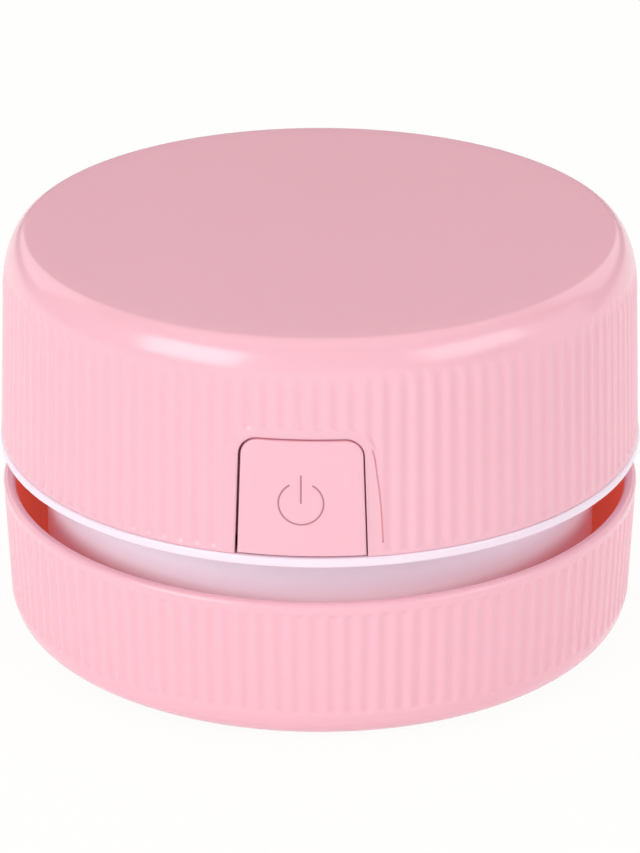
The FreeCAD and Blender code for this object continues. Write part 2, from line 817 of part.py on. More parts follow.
def motor_magnets():
    outer = motor_radius - motor_wall
    inner = rotor_radius + magnet_gap
    low = deck_high + motor_plate + magnet_margin
    return [sector(outer, inner, low, low + rotor_length + magnet_extra, facing - magnet_half_angle,
                   facing + magnet_half_angle) for facing in (0.0, 180.0)]


def filter_frame():
    """Ring that pushes onto the shroud's seat, with a spoked floor for the mesh."""
    outer = filter_radius + filter_wall
    frame = ring(outer, filter_radius, filter_low, filter_top)
    hub = disc(filter_spoke * 2, filter_low, mesh_low)
    spokes = []
    for k in range(6):
        spoke = block(2 * filter_radius + filter_wall, filter_spoke, filter_floor, 0, 0, filter_low)
        spoke.rotate(Vector(0, 0, 0), Vector(0, 0, 1), k * 30.0)
        spokes.append(spoke)
    return frame.fuse([hub] + spokes)


def filter_mesh():
    return disc(filter_radius, mesh_low, mesh_low + mesh_thickness)


def brush_ring():
    """Plastic ring that holds the bristle tufts round the inlet's mouth."""
    low = bay_ceiling - brush_holder
    holder = ring(brush_outer, brush_inner, low, bay_ceiling)
    sockets = [disc(tuft_radius, low, bay_ceiling - socket_floor, spot.x, spot.y) for spot in tuft_spots()]
    return holder.cut(sockets)


def tuft_spots():
    rows = ((brush_inner + tuft_inset, inner_tufts), (brush_outer - tuft_inset, outer_tufts))
    return [polar(radius, k * 360.0 / count) for radius, count in rows for k in range(count)]


def brush_tufts():
    low = bay_ceiling - brush_holder
    tufts = []
    for spot in tuft_spots():
        root = disc(tuft_radius, low, bay_ceiling - socket_floor, spot.x, spot.y)
        tip = Part.makeCone(tuft_radius + tuft_flare, tuft_radius, low - tuft_clearance,
                            Vector(spot.x, spot.y, tuft_clearance))
        tufts.append(root.fuse(tip))
    return tufts


def power_button():
    """Curved tile flush with the cap's ribs, with retaining flange, stem and an engraved power symbol."""
    low = flange_high + button_seam
    tile_prism = prism_y(button_outline(0.0, low), -cap_radius - overrun, -cap_radius / 2)
    skin = turned([(cap_radius_at(low) - button_wall, low), (cap_radius_at(low), low),
                   (cap_shoulder_radius, shoulder_low), (cap_shoulder_radius - button_wall, shoulder_low)])
    tile = skin.common(tile_prism)
    flange_prism = prism_y(button_outline(button_ear + button_seam, low + locating_lip), -cap_radius,
                           -cap_radius / 2)
    back = ring(button_back + button_flange, button_back, low, shoulder_low).common(flange_prism)
    link_prism = prism_y(button_outline(-button_link_inset, low), -cap_radius, -cap_radius / 2)
    link = ring(cap_shoulder_radius - button_wall / 2, button_back + button_flange / 2, low,
                shoulder_low).common(link_prism)
    stem = disc_y(stem_radius, -button_back - button_flange / 2, plunger_front(), 0, stem_z)
    solid = tile.fuse([back, link, stem])
    return solid.cut(power_symbol())


def power_symbol():
    """Engraved open circle with a bar."""
    near, far = -cap_radius - overrun, -cap_inner
    arc = disc_y(symbol_radius + symbol_stroke / 2, near, far, 0, symbol_z).cut(
        disc_y(symbol_radius - symbol_stroke / 2, near, far, 0, symbol_z))
    top = symbol_z + 2 * symbol_radius
    spread = (top - symbol_z) * math.tan(math.radians(symbol_opening))
    wedge = prism_y([(0, symbol_z), (spread, top), (-spread, top)], near, far)
    bar = Part.makeBox(symbol_stroke, far - near, symbol_bar, Vector(-symbol_stroke / 2, near, symbol_z))
    mark = arc.cut(wedge).fuse(bar)
    foot, shoulder = cap_radius_at(flange_high), cap_shoulder_radius
    face = turned([(foot - symbol_depth, flange_high), (foot + overrun, flange_high),
                   (shoulder + overrun, shoulder_low), (shoulder - symbol_depth, shoulder_low)])
    return mark.common(face)


def switch_front():
    return control_board_y - control_board_size[1] / 2 + switch_setback


def plunger_front():
    return switch_front() - plunger_reach


def power_switch():
    """Push switch on the control board, with the plunger's cavity in front."""
    width, depth, height = switch_size
    body = block(width, depth, height, 0, switch_front() + depth / 2, board_high)
    room = plunger_width + 2 * plunger_play
    travel_end = plunger_front() + plunger_length + button_travel + plunger_play
    cavity = Part.makeBox(room, travel_end - switch_front(), room,
                          Vector(-room / 2, switch_front(), stem_z - room / 2))
    return body.cut(cavity)


def switch_plunger():
    return Part.makeBox(plunger_width, plunger_length, plunger_width,
                        Vector(-plunger_width / 2, plunger_front(), stem_z - plunger_width / 2))


def button_guide():
    """Bracket on the deck whose hole guides the button's stem."""
    rise = stem_z + stem_radius + guide_margin - deck_high
    corner = Vector(-guide_width / 2, guide_front, deck_high)
    upright = Part.makeBox(guide_width, guide_thickness, rise, corner)
    foot = Part.makeBox(guide_width, guide_foot, guide_thickness, corner)
    hole = disc_y(stem_radius + touch_gap, guide_front, guide_front + guide_thickness, 0, stem_z)
    return upright.fuse(foot).cut(hole)


def button_spring():
    """Coil spring round the stem, between the button's back and the guide: a loft through its wire."""
    start = -button_back + spring_wire + spring_play
    end = guide_front - spring_wire - spring_play
    rise = (end - start) / (2 * math.pi * spring_turns)
    sections = []
    for step in range(spring_turns * spring_sections + 1):
        turn = 2 * math.pi * step / spring_sections
        middle = Vector(spring_radius * math.cos(turn), start + rise * turn,
                        stem_z + spring_radius * math.sin(turn))
        along = Vector(-spring_radius * math.sin(turn), rise, spring_radius * math.cos(turn))
        sections.append(Part.Wire(Part.makeCircle(spring_wire, middle, along)))
    return Part.makeLoft(sections, True, False)


def battery_cell():
    """Round lithium cell, lying across the deck behind the motor."""
    half = cell_length / 2
    can = Part.makeCylinder(cell_radius, cell_length - cell_nub_height, Vector(-half, cell_y, cell_z),
                            Vector(1, 0, 0))
    nub = Part.makeCylinder(cell_nub_radius, cell_nub_height, Vector(half - cell_nub_height, cell_y, cell_z),
                            Vector(1, 0, 0))
    return can.fuse(nub)


def battery_cradle():
    """Plastic saddle that holds the cell on the deck."""
    plate = block(cradle_length, cradle_width, cradle_base, 0, cell_y, deck_high)
    walls = [block(cradle_wall, cradle_width, cell_radius, x, cell_y, deck_high)
             for x in (-cradle_length / 2 + cradle_wall / 2, 0, cradle_length / 2 - cradle_wall / 2)]
    room = Part.makeCylinder(cell_radius, cell_length, Vector(-cell_length / 2, cell_y, cell_z),
                             Vector(1, 0, 0))
    return plate.fuse(walls).cut(room)


def cell_tabs():
    """Nickel tabs on the cell's two ends."""
    half = cell_length / 2
    tabs = []
    for x in (-half - tab_thickness, half):
        tabs.append(Part.makeBox(tab_thickness, tab_width, cell_radius + tab_rise + tab_drop,
                                 Vector(x, cell_y - tab_width / 2, cell_z - tab_drop)))
    return tabs


def board(size, y):
    width, depth = size
    plate = block(width, depth, board_thickness, 0, y, board_low)
    holes = [disc(screw_hole_radius, board_low, board_high, x, fixing_y) for x, fixing_y in board_fixings()
             if abs(fixing_y - y) < depth / 2]
    return plate.cut(holes)


def board_screws():
    return [screw(Vector(x, y, board_high), board_screw_length - board_thickness, up=False)
            for x, y in board_fixings()]


def board_chips():
    """Motor driver on the control board and charger chip on the charge board, at their rear edges."""
    driver_y = control_board_y + (control_board_size[1] - driver_chip_size[1]) / 2 - chip_margin
    charger_y = charge_board_y - (charge_board_size[1] - charger_chip_size[1]) / 2 + chip_margin
    return [block(*driver_chip_size, 0, driver_y, board_high),
            block(*charger_chip_size, 0, charger_y, board_high)]


def lead_headers():
    """White plugs for the motor's and the cell's leads."""
    width, depth, height = header_size
    return [block(width, depth, height, header_x(side), header_y, board_high) for side in (-1, 1)]


def usb_socket():
    """Shell of the charging socket with its tongue."""
    front = cap_inner - usb_setback
    back = front - usb_depth

    def stadium(wall, near, far):
        half, rise = usb_width / 2 - wall, usb_height / 2 - wall
        corner = rise * usb_corner_share
        return prism_y([(-half, usb_z - rise, corner), (half, usb_z - rise, corner),
                        (half, usb_z + rise, corner), (-half, usb_z + rise, corner)], near, far)

    shell = stadium(0.0, back, front).cut(stadium(usb_wall, back + usb_back, front + overrun))
    tongue_width = usb_width - 2 * usb_tongue_inset
    tongue = Part.makeBox(tongue_width, usb_depth - usb_tongue_setback - usb_back / 2, usb_tongue,
                          Vector(-tongue_width / 2, back + usb_back / 2, usb_z - usb_tongue / 2))
    return shell.fuse(tongue)


def charge_lamp():
    """Clear light guide from the charge board to the cap's outside."""
    inside = charge_board_y + charge_board_size[1] / 2 - lamp_overlap
    reach = math.sqrt(cap_radius_at(usb_z) ** 2 - lamp_x ** 2)
    guide = disc_y(lamp_radius - lamp_play, inside, reach, lamp_x, usb_z)
    foot = block(lamp_foot, lamp_foot, usb_z - board_high + lamp_radius / 2, lamp_x, inside + lamp_foot / 2,
                 board_high)
    return guide.fuse(foot)


def lead(points):
    """Insulated wire through straight runs joined by tangent arcs."""
    spots = [Vector(*p) for p in points]
    edges = []
    start = spots[0]
    for before, corner, after in zip(spots, spots[1:], spots[2:]):
        shorter = min((corner - before).Length, (after - corner).Length)
        half = (before - corner).getAngle(after - corner) / 2
        arc_start, middle, end = corner_arc(before, corner, after, 0.45 * shorter * math.tan(half))
        edges.append(Part.LineSegment(start, arc_start).toShape())
        edges.append(Part.Arc(arc_start, middle, end).toShape())
        start = end
    edges.append(Part.LineSegment(start, spots[-1]).toShape())
    path = Part.Wire(edges)
    profile = Part.Wire(Part.makeCircle(lead_radius, spots[0], spots[1] - spots[0]))
    return path.makePipeShell([profile], True, False)


def header_x(side):
    return side * (control_board_size[0] / 2 - header_size[0] / 2 - header_margin)


def motor_leads():
    """Two wires from the motor's terminals to the right-hand plug."""
    top = motor_top + lead_lift
    plug_top = board_high + header_size[2]
    start_y = -terminal_thickness / 2
    near_x, far_x = header_x(1) + lead_spacing / 2, header_x(1) - lead_spacing / 2
    turn_z = plug_top + lead_loop
    bend_y = header_y * 0.6
    near = [(terminal_offset, start_y, top), (terminal_offset, start_y - motor_radius / 2, top),
            (near_x, bend_y, top - 1.0), (near_x, header_y, turn_z), (near_x, header_y, plug_top)]
    far = [(-terminal_offset, start_y, top), (-terminal_offset, start_y - motor_radius / 2, top),
           (0.0, bend_y + 2.0, top - 1.0), (far_x, header_y, turn_z), (far_x, header_y, plug_top)]
    return [lead(near), lead(far)]


def cell_leads():
    """Two wires from the tops of the cell's tabs to the left-hand plug."""
    start_x = (cell_length + tab_thickness) / 2
    start_z = cell_z + cell_radius + tab_rise
    over = motor_end + lead_lift
    plug_top = board_high + header_size[2]
    near_x, far_x = header_x(-1) - lead_spacing / 2, header_x(-1) + lead_spacing / 2
    turn_z = plug_top + lead_loop
    side_y = cell_y * 0.4
    bend_y = header_y * 0.75
    near = [(-start_x, cell_y, start_z), (-start_x, cell_y, start_z + cell_lead_rise),
            (-start_x * 0.8, side_y, start_z + cell_lead_rise), (-start_x * 0.65, -side_y, start_z + 2.0),
            (near_x, bend_y, start_z), (near_x, header_y, turn_z), (near_x, header_y, plug_top)]
    far = [(start_x, cell_y, start_z), (start_x, cell_y, over), (start_x / 2, side_y, over),
           (-start_x / 8, -side_y / 2, over), (far_x, bend_y, over - 2.0), (far_x, header_y, turn_z + 1.0),
           (far_x, header_y, plug_top)]
    return [lead(near), lead(far)]


pieces = {
    "base_shell": base_shell, "dust_bin": dust_bin, "bin_floor": bin_floor, "bay_plate": bay_plate,
    "inlet_duct": inlet_duct, "bin_screws": bin_screws, "bin_seal": bin_seal,
    "brush_ring": brush_ring, "brush_tufts": brush_tufts,
    "filter_frame": filter_frame, "filter_mesh": filter_mesh,
    "fan_shroud": fan_shroud, "bayonet_hooks": bayonet_hooks, "shroud_screws": shroud_screws,
    "shroud_posts": shroud_posts, "impeller": impeller,
    "inner_housing": inner_housing, "white_ring": white_ring, "housing_collar": housing_collar,
    "motor_seat": motor_seat, "board_posts": board_posts, "top_cap": top_cap, "cap_screws": cap_screws,
    "motor_can": motor_can, "motor_end_cap": motor_end_cap, "motor_terminals": motor_terminals,
    "motor_bushes": motor_bushes, "motor_magnets": motor_magnets, "motor_screws": motor_screws,
    "motor_shaft": motor_shaft, "motor_rotor": motor_rotor,
    "battery_cell": battery_cell, "battery_cradle": battery_cradle, "cell_tabs": cell_tabs,
    "control_board": lambda: board(control_board_size, control_board_y),
    "charge_board": lambda: board(charge_board_size, charge_board_y),
    "board_screws": board_screws, "board_chips": board_chips, "lead_headers": lead_headers,
    "usb_socket": usb_socket, "charge_lamp": charge_lamp,
    "power_switch": power_switch, "switch_plunger": switch_plunger,
    "power_button": power_button, "button_guide": button_guide, "button_spring": button_spring,
    "motor_leads": motor_leads, "cell_leads": cell_leads,
}

os.makedirs("parts", exist_ok=True)
for name, make in pieces.items():
    made = make()
    shape = Part.makeCompound(made) if isinstance(made, list) else made
    shape.exportStep(f"parts/{name}.step")
    print(name, len(shape.Solids), "solids", round(shape.Volume, 1), "mm3", shape.isValid())
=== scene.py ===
import math

import bmesh
import bpy
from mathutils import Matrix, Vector


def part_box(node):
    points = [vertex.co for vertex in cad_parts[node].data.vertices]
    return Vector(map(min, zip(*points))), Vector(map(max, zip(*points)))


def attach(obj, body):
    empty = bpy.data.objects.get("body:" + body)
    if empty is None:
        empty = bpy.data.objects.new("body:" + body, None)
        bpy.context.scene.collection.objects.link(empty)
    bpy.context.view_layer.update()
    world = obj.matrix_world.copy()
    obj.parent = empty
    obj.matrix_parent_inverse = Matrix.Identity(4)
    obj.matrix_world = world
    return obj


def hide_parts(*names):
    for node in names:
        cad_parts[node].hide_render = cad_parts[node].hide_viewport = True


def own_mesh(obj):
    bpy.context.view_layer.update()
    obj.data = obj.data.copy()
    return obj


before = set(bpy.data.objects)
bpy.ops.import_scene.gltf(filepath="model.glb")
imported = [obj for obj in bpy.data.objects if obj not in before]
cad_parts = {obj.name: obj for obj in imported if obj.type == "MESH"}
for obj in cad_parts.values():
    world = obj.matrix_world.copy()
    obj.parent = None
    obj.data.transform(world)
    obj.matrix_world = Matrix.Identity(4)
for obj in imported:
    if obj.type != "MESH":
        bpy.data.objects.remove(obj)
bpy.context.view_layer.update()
mm = 0.001
print("frame loaded:", len(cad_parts), "nodes")


# Colours and nodes

def linearColour(hexText):
    channels = [int(hexText[i:i + 2], 16) / 255 for i in (1, 3, 5)]
    return tuple(c / 12.92 if c <= 0.04045 else ((c + 0.055) / 1.055) ** 2.4 for c in channels) + (1.0,)


def addNode(tree, kind, inputs=None, **settings):
    # a node given as a value is linked by its first output
    node = tree.nodes.new(kind)
    for name, value in settings.items():
        setattr(node, name, value)
    for key, value in (inputs or {}).items():
        if isinstance(value, bpy.types.Node):
            value = value.outputs[0]
        if isinstance(value, bpy.types.NodeSocket):
            tree.links.new(value, node.inputs[key])
        else:
            node.inputs[key].default_value = value
    return node


def newMaterial(name):
    material = bpy.data.materials.new(name)
    material.use_nodes = True
    material.node_tree.nodes.clear()
    return material, material.node_tree


def speckSize(sizeMm):
    return 1000.0 / sizeMm      # noise scale in metres that gives features of about this size


noiseLow, noiseHigh = 0.3, 0.7      # most of a noise's values lie between these
grainHeight = 0.02 * mm


def grained(tree, colour, shade, tintBy, grain, roughness, unevenness, relief):
    # inputs of a surface whose polish and relief follow its grain
    tint = addNode(tree, "ShaderNodeMix", {0: tintBy, 6: linearColour(shade), 7: linearColour(colour)},
                   data_type="RGBA")
    polish = addNode(tree, "ShaderNodeMapRange", {0: grain, 1: noiseLow, 2: noiseHigh,
                                                  3: roughness - unevenness, 4: roughness + unevenness})
    bump = addNode(tree, "ShaderNodeBump", {"Strength": relief, "Distance": grainHeight, "Height": grain})
    return {"Base Color": tint.outputs[2], "Roughness": polish, "Normal": bump}


# Moulded plastic: one even colour, a faint cloudiness from the melt, and the fine grain of a spark-eroded
# mould, which softens the highlights a little
def mouldedPlastic(name, colour, shade, cloudMm, grainMm, roughness, relief, shader=None):
    material, tree = newMaterial(name)
    place = addNode(tree, "ShaderNodeTexCoord").outputs["Object"]
    cloud = addNode(tree, "ShaderNodeTexNoise", {"Vector": place, "Scale": speckSize(cloudMm), "Detail": 3.0})
    grain = addNode(tree, "ShaderNodeTexNoise", {"Vector": place, "Scale": speckSize(grainMm), "Detail": 2.0})
    surface = addNode(tree, "ShaderNodeBsdfPrincipled", {
        "IOR": 1.5, "Subsurface Radius": (3.0 * mm, 1.6 * mm, 1.6 * mm), "Subsurface Scale": 1.0,
        **grained(tree, colour, shade, cloud, grain, roughness, 0.03, relief), **(shader or {})})
    addNode(tree, "ShaderNodeOutputMaterial", {"Surface": surface})
    return material


# Metal: drawn or turned, with fine lines along one axis and slightly uneven polish
def workedMetal(name, colour, shade, grainMm, roughness, lines):
    material, tree = newMaterial(name)
    place = addNode(tree, "ShaderNodeTexCoord").outputs["Object"]
    drawn = addNode(tree, "ShaderNodeMapping", {"Vector": place, "Scale": lines})
    grain = addNode(tree, "ShaderNodeTexNoise", {"Vector": drawn, "Scale": speckSize(grainMm), "Detail": 3.0})
    surface = addNode(tree, "ShaderNodeBsdfPrincipled", {
        "Metallic": 1.0, **grained(tree, colour, shade, grain, grain, roughness, 0.06, 0.2)})
    addNode(tree, "ShaderNodeOutputMaterial", {"Surface": surface})
    return material


# Green glass-fibre laminate under solder mask: paler copper tracks run under a glossy lacquer
def boardLaminate(name, look):
    material, tree = newMaterial(name)
    place = addNode(tree, "ShaderNodeTexCoord").outputs["Object"]
    tracks = addNode(tree, "ShaderNodeTexBrick", {
        "Vector": place, "Scale": 1.0, "Mortar Size": look["trackWidth"],
        "Brick Width": look["trackLength"], "Row Height": look["trackSpacing"],
        "Color1": linearColour(look["colour"]), "Color2": linearColour(look["shade"]),
        "Mortar": linearColour(look["track"])})
    surface = addNode(tree, "ShaderNodeBsdfPrincipled", {"Base Color": tracks,
                                                         "Roughness": look["roughness"]})
    addNode(tree, "ShaderNodeOutputMaterial", {"Surface": surface})
    return material


# colour, shade, size of the clouds and of the grain in mm, roughness, relief, and what else the shader gets
plasticLooks = {
    # ABS, tinted blush pink and moulded with a soft gloss: the shells and the button
    "blushAbs": ("#FBC0CE", "#F9BDCB", 30.0, 0.35, 0.2, 0.08, {"Subsurface Weight": 0.15}),
    # the same ABS inside the base, painted a deeper coral and given a painted glow (emission): both stand in
    # for light that comes through the thin wall and from wall to wall
    "coralAbs": ("#B0322A", "#AA2E26", 20.0, 0.35, 0.35, 0.12,
                 {"Emission Color": linearColour("#FF6654"), "Emission Strength": 0.29}),
    # glossy white ABS with a cool lilac cast
    "pearlAbs": ("#F9EAF7", "#F6E7F5", 30.0, 0.4, 0.22, 0.08),
    # the collar is given a bluer white than the ring, and a faint painted glow (emission) that stands in for
    # light coming through its thin wall
    "collarAbs": ("#EEF0FC", "#EBEDFA", 30.0, 0.4, 0.22, 0.08,
                  {"Emission Color": linearColour("#FFB8D8"), "Emission Strength": 0.06}),
    "binAbs": ("#F1ECF0", "#EDE8EC", 25.0, 0.4, 0.3, 0.1),
    # acetal: waxy and slightly see-through white
    "fanAcetal": ("#EFEEEA", "#E9E8E2", 12.0, 0.5, 0.4, 0.15, {"Subsurface Weight": 0.1}),
    "switchAcetal": ("#C0282C", "#B52226", 5.0, 0.4, 0.4, 0.15),
    "plugNylon": ("#F0EBDD", "#E6E0D0", 5.0, 0.3, 0.5, 0.2),
    # glass-filled nylon: matt black with a dry grain
    "blackNylon": ("#1E1E20", "#17171A", 6.0, 0.25, 0.55, 0.3),
    "bristleNylon": ("#3A393C", "#2B2A2D", 4.0, 0.3, 0.35, 0.1),
    # silicone rubber: matt, with a dusty bloom
    "sealSilicone": ("#B9B4B7", "#ADA8AB", 4.0, 0.3, 0.65, 0.3),
    # heat-shrunk film: glossy blue
    "cellWrap": ("#2F6FB0", "#2A66A4", 8.0, 0.6, 0.25, 0.15),
    # soft PVC of the leads: a dull sheen
    "leadRedPvc": ("#B8262A", "#A92125", 4.0, 0.3, 0.45, 0.1),
    "leadBlackPvc": ("#232325", "#1B1B1D", 4.0, 0.3, 0.45, 0.1),
    # clear acrylic light guide
    "lampAcrylic": ("#F4F6F2", "#EDF0EA", 3.0, 0.5, 0.12, 0.05, {"IOR": 1.49, "Transmission Weight": 0.7}),
    # the symbol is marked by laser, which leaves a dry, dusky line in the gloss
    "laserMark": ("#C48494", "#BA7A8A", 2.0, 0.2, 0.7, 0.3),
    # woven polyester filter cloth
    "filterPolyester": ("#E9E8E4", "#DAD9D4", 2.0, 0.15, 0.85, 0.4),
    # pressed ferrite: sooty black
    "ferriteBlack": ("#3A3A3D", "#2E2E31", 2.0, 0.2, 0.6, 0.4),
}

# colour, shade, size of the grain in mm, roughness, and how much finer the lines are along each axis
metalLooks = {
    "zincSteel": ("#C9CBD0", "#B4B7BD", 0.6, 0.32, (1, 1, 1)),
    "drawnSteel": ("#CFCFD2", "#BDBDC1", 1.2, 0.3, (1, 1, 0.1)),
    "groundSteel": ("#D8D8DA", "#C8C8CB", 0.3, 0.2, (1, 1, 6)),
    "springSteel": ("#C4C5C8", "#AEB0B4", 0.4, 0.28, (1, 1, 1)),
    "nickelStrip": ("#D2CEC6", "#BFBBB3", 0.5, 0.35, (1, 0.2, 1)),
    "sinteredBronze": ("#B58A5A", "#96703F", 0.2, 0.5, (1, 1, 1)),
    "tinnedBrass": ("#D3BE86", "#BDA66C", 0.4, 0.3, (1, 1, 1)),
    "rotorIron": ("#9A6A45", "#6C4A33", 0.4, 0.45, (1, 1, 8)),
}

boardLook = {"colour": "#1F6B3C", "shade": "#1C6236", "track": "#3C8A57", "trackSpacing": 1.0 * mm,
             "trackLength": 3.0 * mm, "trackWidth": 0.1 * mm, "roughness": 0.3}

finish = {name: mouldedPlastic(name, *look) for name, look in plasticLooks.items()}
finish.update({name: workedMetal(name, *look) for name, look in metalLooks.items()})
finish["boardLaminate"] = boardLaminate("boardLaminate", boardLook)
print("materials made:", len(finish))


# The CAD parts: those that are replaced below have a finish too

cadFinish = {
    "blushAbs": ("top_cap", "base_shell", "power_button"),
    "pearlAbs": ("inner_housing", "white_ring", "motor_seat", "board_posts", "shroud_posts"),
    "collarAbs": ("housing_collar",),
    "binAbs": ("dust_bin", "bin_floor", "bay_plate", "inlet_duct", "brush_ring", "fan_shroud",
               "bayonet_hooks"),
    "sealSilicone": ("bin_seal",),
    "zincSteel": ("bin_screws", "cap_screws", "shroud_screws", "motor_screws", "board_screws"),
    "drawnSteel": ("motor_can", "usb_socket"),
    "groundSteel": ("motor_shaft",),
    "springSteel": ("button_spring",),
    "blackNylon": ("motor_end_cap", "battery_cradle", "board_chips", "power_switch"),
    "tinnedBrass": ("motor_terminals",),
    "sinteredBronze": ("motor_bushes",),
    "ferriteBlack": ("motor_magnets",),
    "rotorIron": ("motor_rotor",),
    "cellWrap": ("battery_cell",),
    "nickelStrip": ("cell_tabs",),
    "boardLaminate": ("control_board", "charge_board"),
    "plugNylon": ("lead_headers",),
    "lampAcrylic": ("charge_lamp",),
    "fanAcetal": ("button_guide", "impeller", "filter_frame"),
    "switchAcetal": ("switch_plunger",),
    "leadRedPvc": ("motor_leads",),
    "leadBlackPvc": ("cell_leads",),
    "filterPolyester": ("filter_mesh",),
    "bristleNylon": ("brush_tufts",),
}

for name, nodes in cadFinish.items():
    for node in nodes:
        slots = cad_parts[node].data.materials
        slots.clear()
        slots.append(finish[name])
print("CAD parts finished")


# Meshes and cuts that the pieces share

cutOver = 0.5 * mm      # how far a cutter stands out of what it cuts


def newObject(name, mesh):
    thing = bpy.data.objects.new(name, mesh)
    bpy.context.scene.collection.objects.link(thing)
    return thing


def appliedMesh(thing, name):
    bpy.context.view_layer.update()
    graph = bpy.context.evaluated_depsgraph_get()
    mesh = bpy.data.meshes.new_from_object(thing.evaluated_get(graph), preserve_all_data_layers=True,
                                           depsgraph=graph)
    thing.modifiers.clear()
    thing.data = mesh
    mesh.name = name
    return thing


def smoothByAngle(thing, degrees):
    for polygon in thing.data.polygons:
        polygon.use_smooth = True
    thing.data.set_sharp_from_angle(angle=math.radians(degrees))


def recalculated(thing, facing=None):
    # an open strip has no outside, so the way that its faces look is given
    work = bmesh.new()
    work.from_mesh(thing.data)
    bmesh.ops.recalc_face_normals(work, faces=work.faces)
    work.normal_update()
    if facing and sum(face.normal.dot(facing) * face.calc_area() for face in work.faces) < 0:
        bmesh.ops.reverse_faces(work, faces=work.faces)
    work.to_mesh(thing.data)
    work.free()
    return thing


def spread(start, end, count):
    return [start + (end - start) * i / count for i in range(count + 1)]


def levels(start, *stops):
    # heights from start through each stop, in as many steps as the stop gives
    heights = [start]
    for height, steps in stops:
        heights += spread(heights[-1], height, steps)[1:]
    return heights


def circle(radius, count, x=0.0, y=0.0):
    return [(x + radius * math.cos(turn), y + radius * math.sin(turn))
            for turn in (2 * math.pi * i / count for i in range(count))]


def quarter(centre, radiusR, radiusZ, startAngle, count):
    points = []
    for angle in spread(math.radians(startAngle), math.radians(startAngle + 90.0), count):
        points.append((centre[0] + radiusR * math.cos(angle), centre[1] + radiusZ * math.sin(angle)))
    return points


def onFace(x, z, radius):
    return (x, -math.sqrt(radius * radius - x * x), z)      # point on the front of an upright cylinder


def bandFaces(rows, count, closed=True):
    # quads between rows of count points; a closed row joins its last point to its first
    faces = []
    for start in range(0, (rows - 1) * count, count):
        for i in range(count if closed else count - 1):
            after = (i + 1) % count
            faces.append((start + i, start + after, start + count + after, start + count + i))
    return faces


def meshOf(name, verts, faces, material=None):
    mesh = bpy.data.meshes.new(name)
    mesh.from_pydata(verts, [], faces)
    if material:
        mesh.materials.append(finish[material])
    return mesh


def ringMesh(name, rings, material=None):
    # closed skin through rings of as many points each, with flat ends
    count = len(rings[0])
    last = (len(rings) - 1) * count
    ends = [tuple(range(count - 1, -1, -1)), tuple(range(last, last + count))]
    return meshOf(name, [v for ring in rings for v in ring], bandFaces(len(rings), count) + ends, material)


def ringSolid(name, rings, material=None):
    return recalculated(newObject(name, ringMesh(name, rings, material)))


def uprightPrism(outline, low, high):
    return ringSolid("uprightPrism", [[(x, y, z) for x, y in outline] for z in (low, high)])


def levelPrism(outline, near, far, material=None):
    # along Y, through (x, z) points
    return ringSolid("levelPrism", [[(x, y, z) for x, z in outline] for y in (near, far)], material)


def turnedSolid(name, section, columns, material):
    # closed (radius, height) section turned about the axis
    verts = [(r * c, r * s, z) for c, s in circle(1.0, columns) for r, z in section]
    faces = [tuple(v % len(verts) for v in face) for face in bandFaces(columns + 1, len(section))]
    return recalculated(newObject(name, meshOf(name, verts, faces, material)))


def keepMaterials(thing, names):
    # the named finishes in order; a face that came from a cutter takes the first
    slots = thing.data.materials
    order = [names.index(slot.name) if slot and slot.name in names else 0 for slot in slots] or [0]
    chosen = [order[polygon.material_index] for polygon in thing.data.polygons]
    slots.clear()
    for name in names:
        slots.append(finish[name])
    thing.data.polygons.foreach_set("material_index", chosen)
    return thing


def cutAway(thing, cutters):
    for cutter in cutters:
        modifier = thing.modifiers.new("cut", "BOOLEAN")
        modifier.operation = "DIFFERENCE"
        modifier.solver = "EXACT"
        modifier.object = cutter
    appliedMesh(thing, thing.name)
    for cutter in cutters:
        bpy.data.objects.remove(cutter)
    return thing


def joined(target, others):
    work = bmesh.new()
    work.from_mesh(target.data)
    slots = [slot.name for slot in target.data.materials if slot]
    for other in others:
        known = len(work.faces)
        work.from_mesh(other.data)
        work.faces.ensure_lookup_table()
        for face in work.faces[known:]:
            face.material_index = slots.index(other.data.materials[0].name)
        bpy.data.objects.remove(other)
    work.to_mesh(target.data)
    work.free()
    return target


# Geometry Nodes trees: how each one starts and ends, and how one is used

maths = "ShaderNodeMath"
vectorMaths = "ShaderNodeVectorMath"


def newTree(name, inputs, result):
    tree = bpy.data.node_groups.new(name, "GeometryNodeTree")
    for label, kind in inputs.items():
        tree.interface.new_socket(label, in_out="INPUT", socket_type="NodeSocket" + kind)
    tree.interface.new_socket(result, in_out="OUTPUT", socket_type="NodeSocketGeometry")
    return tree, addNode(tree, "NodeGroupInput").outputs


def finishTree(tree, shape, material):
    real = addNode(tree, "GeometryNodeRealizeInstances", {"Geometry": shape})
    dressed = addNode(tree, "GeometryNodeSetMaterial", {"Geometry": real, "Material": material})
    addNode(tree, "NodeGroupOutput", {0: dressed})
    return tree


def grown(name, mesh, tree, inputs):
    # a mesh given to a tree, and its result kept as a plain mesh
    thing = newObject(name, mesh)
    modifier = thing.modifiers.new(name, "NODES")
    modifier.node_group = tree
    for item in tree.interface.items_tree:
        if item.item_type == "SOCKET" and item.in_out == "INPUT" and item.name in inputs:
            modifier[item.identifier] = inputs[item.name]
    return appliedMesh(thing, name)


# Sizes of the two ribbed shells and the button between them

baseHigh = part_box("base_shell")[1]
capLow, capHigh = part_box("top_cap")
buttonLow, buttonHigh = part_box("power_button")
collarLow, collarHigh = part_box("housing_collar")

shell = {
    "ribs": 120,
    "columnsPerRib": 12,
    "ribDepth": 0.28 * mm,
    "grooveShape": 1.15,       # above 1, the grooves are narrower than the ribs
    "wall": 1.6 * mm,
    "radius": 44.0 * mm,
    "draft": 0.8 * mm,
    "smoothAngle": 32,
    "weld": 0.002 * mm,
}

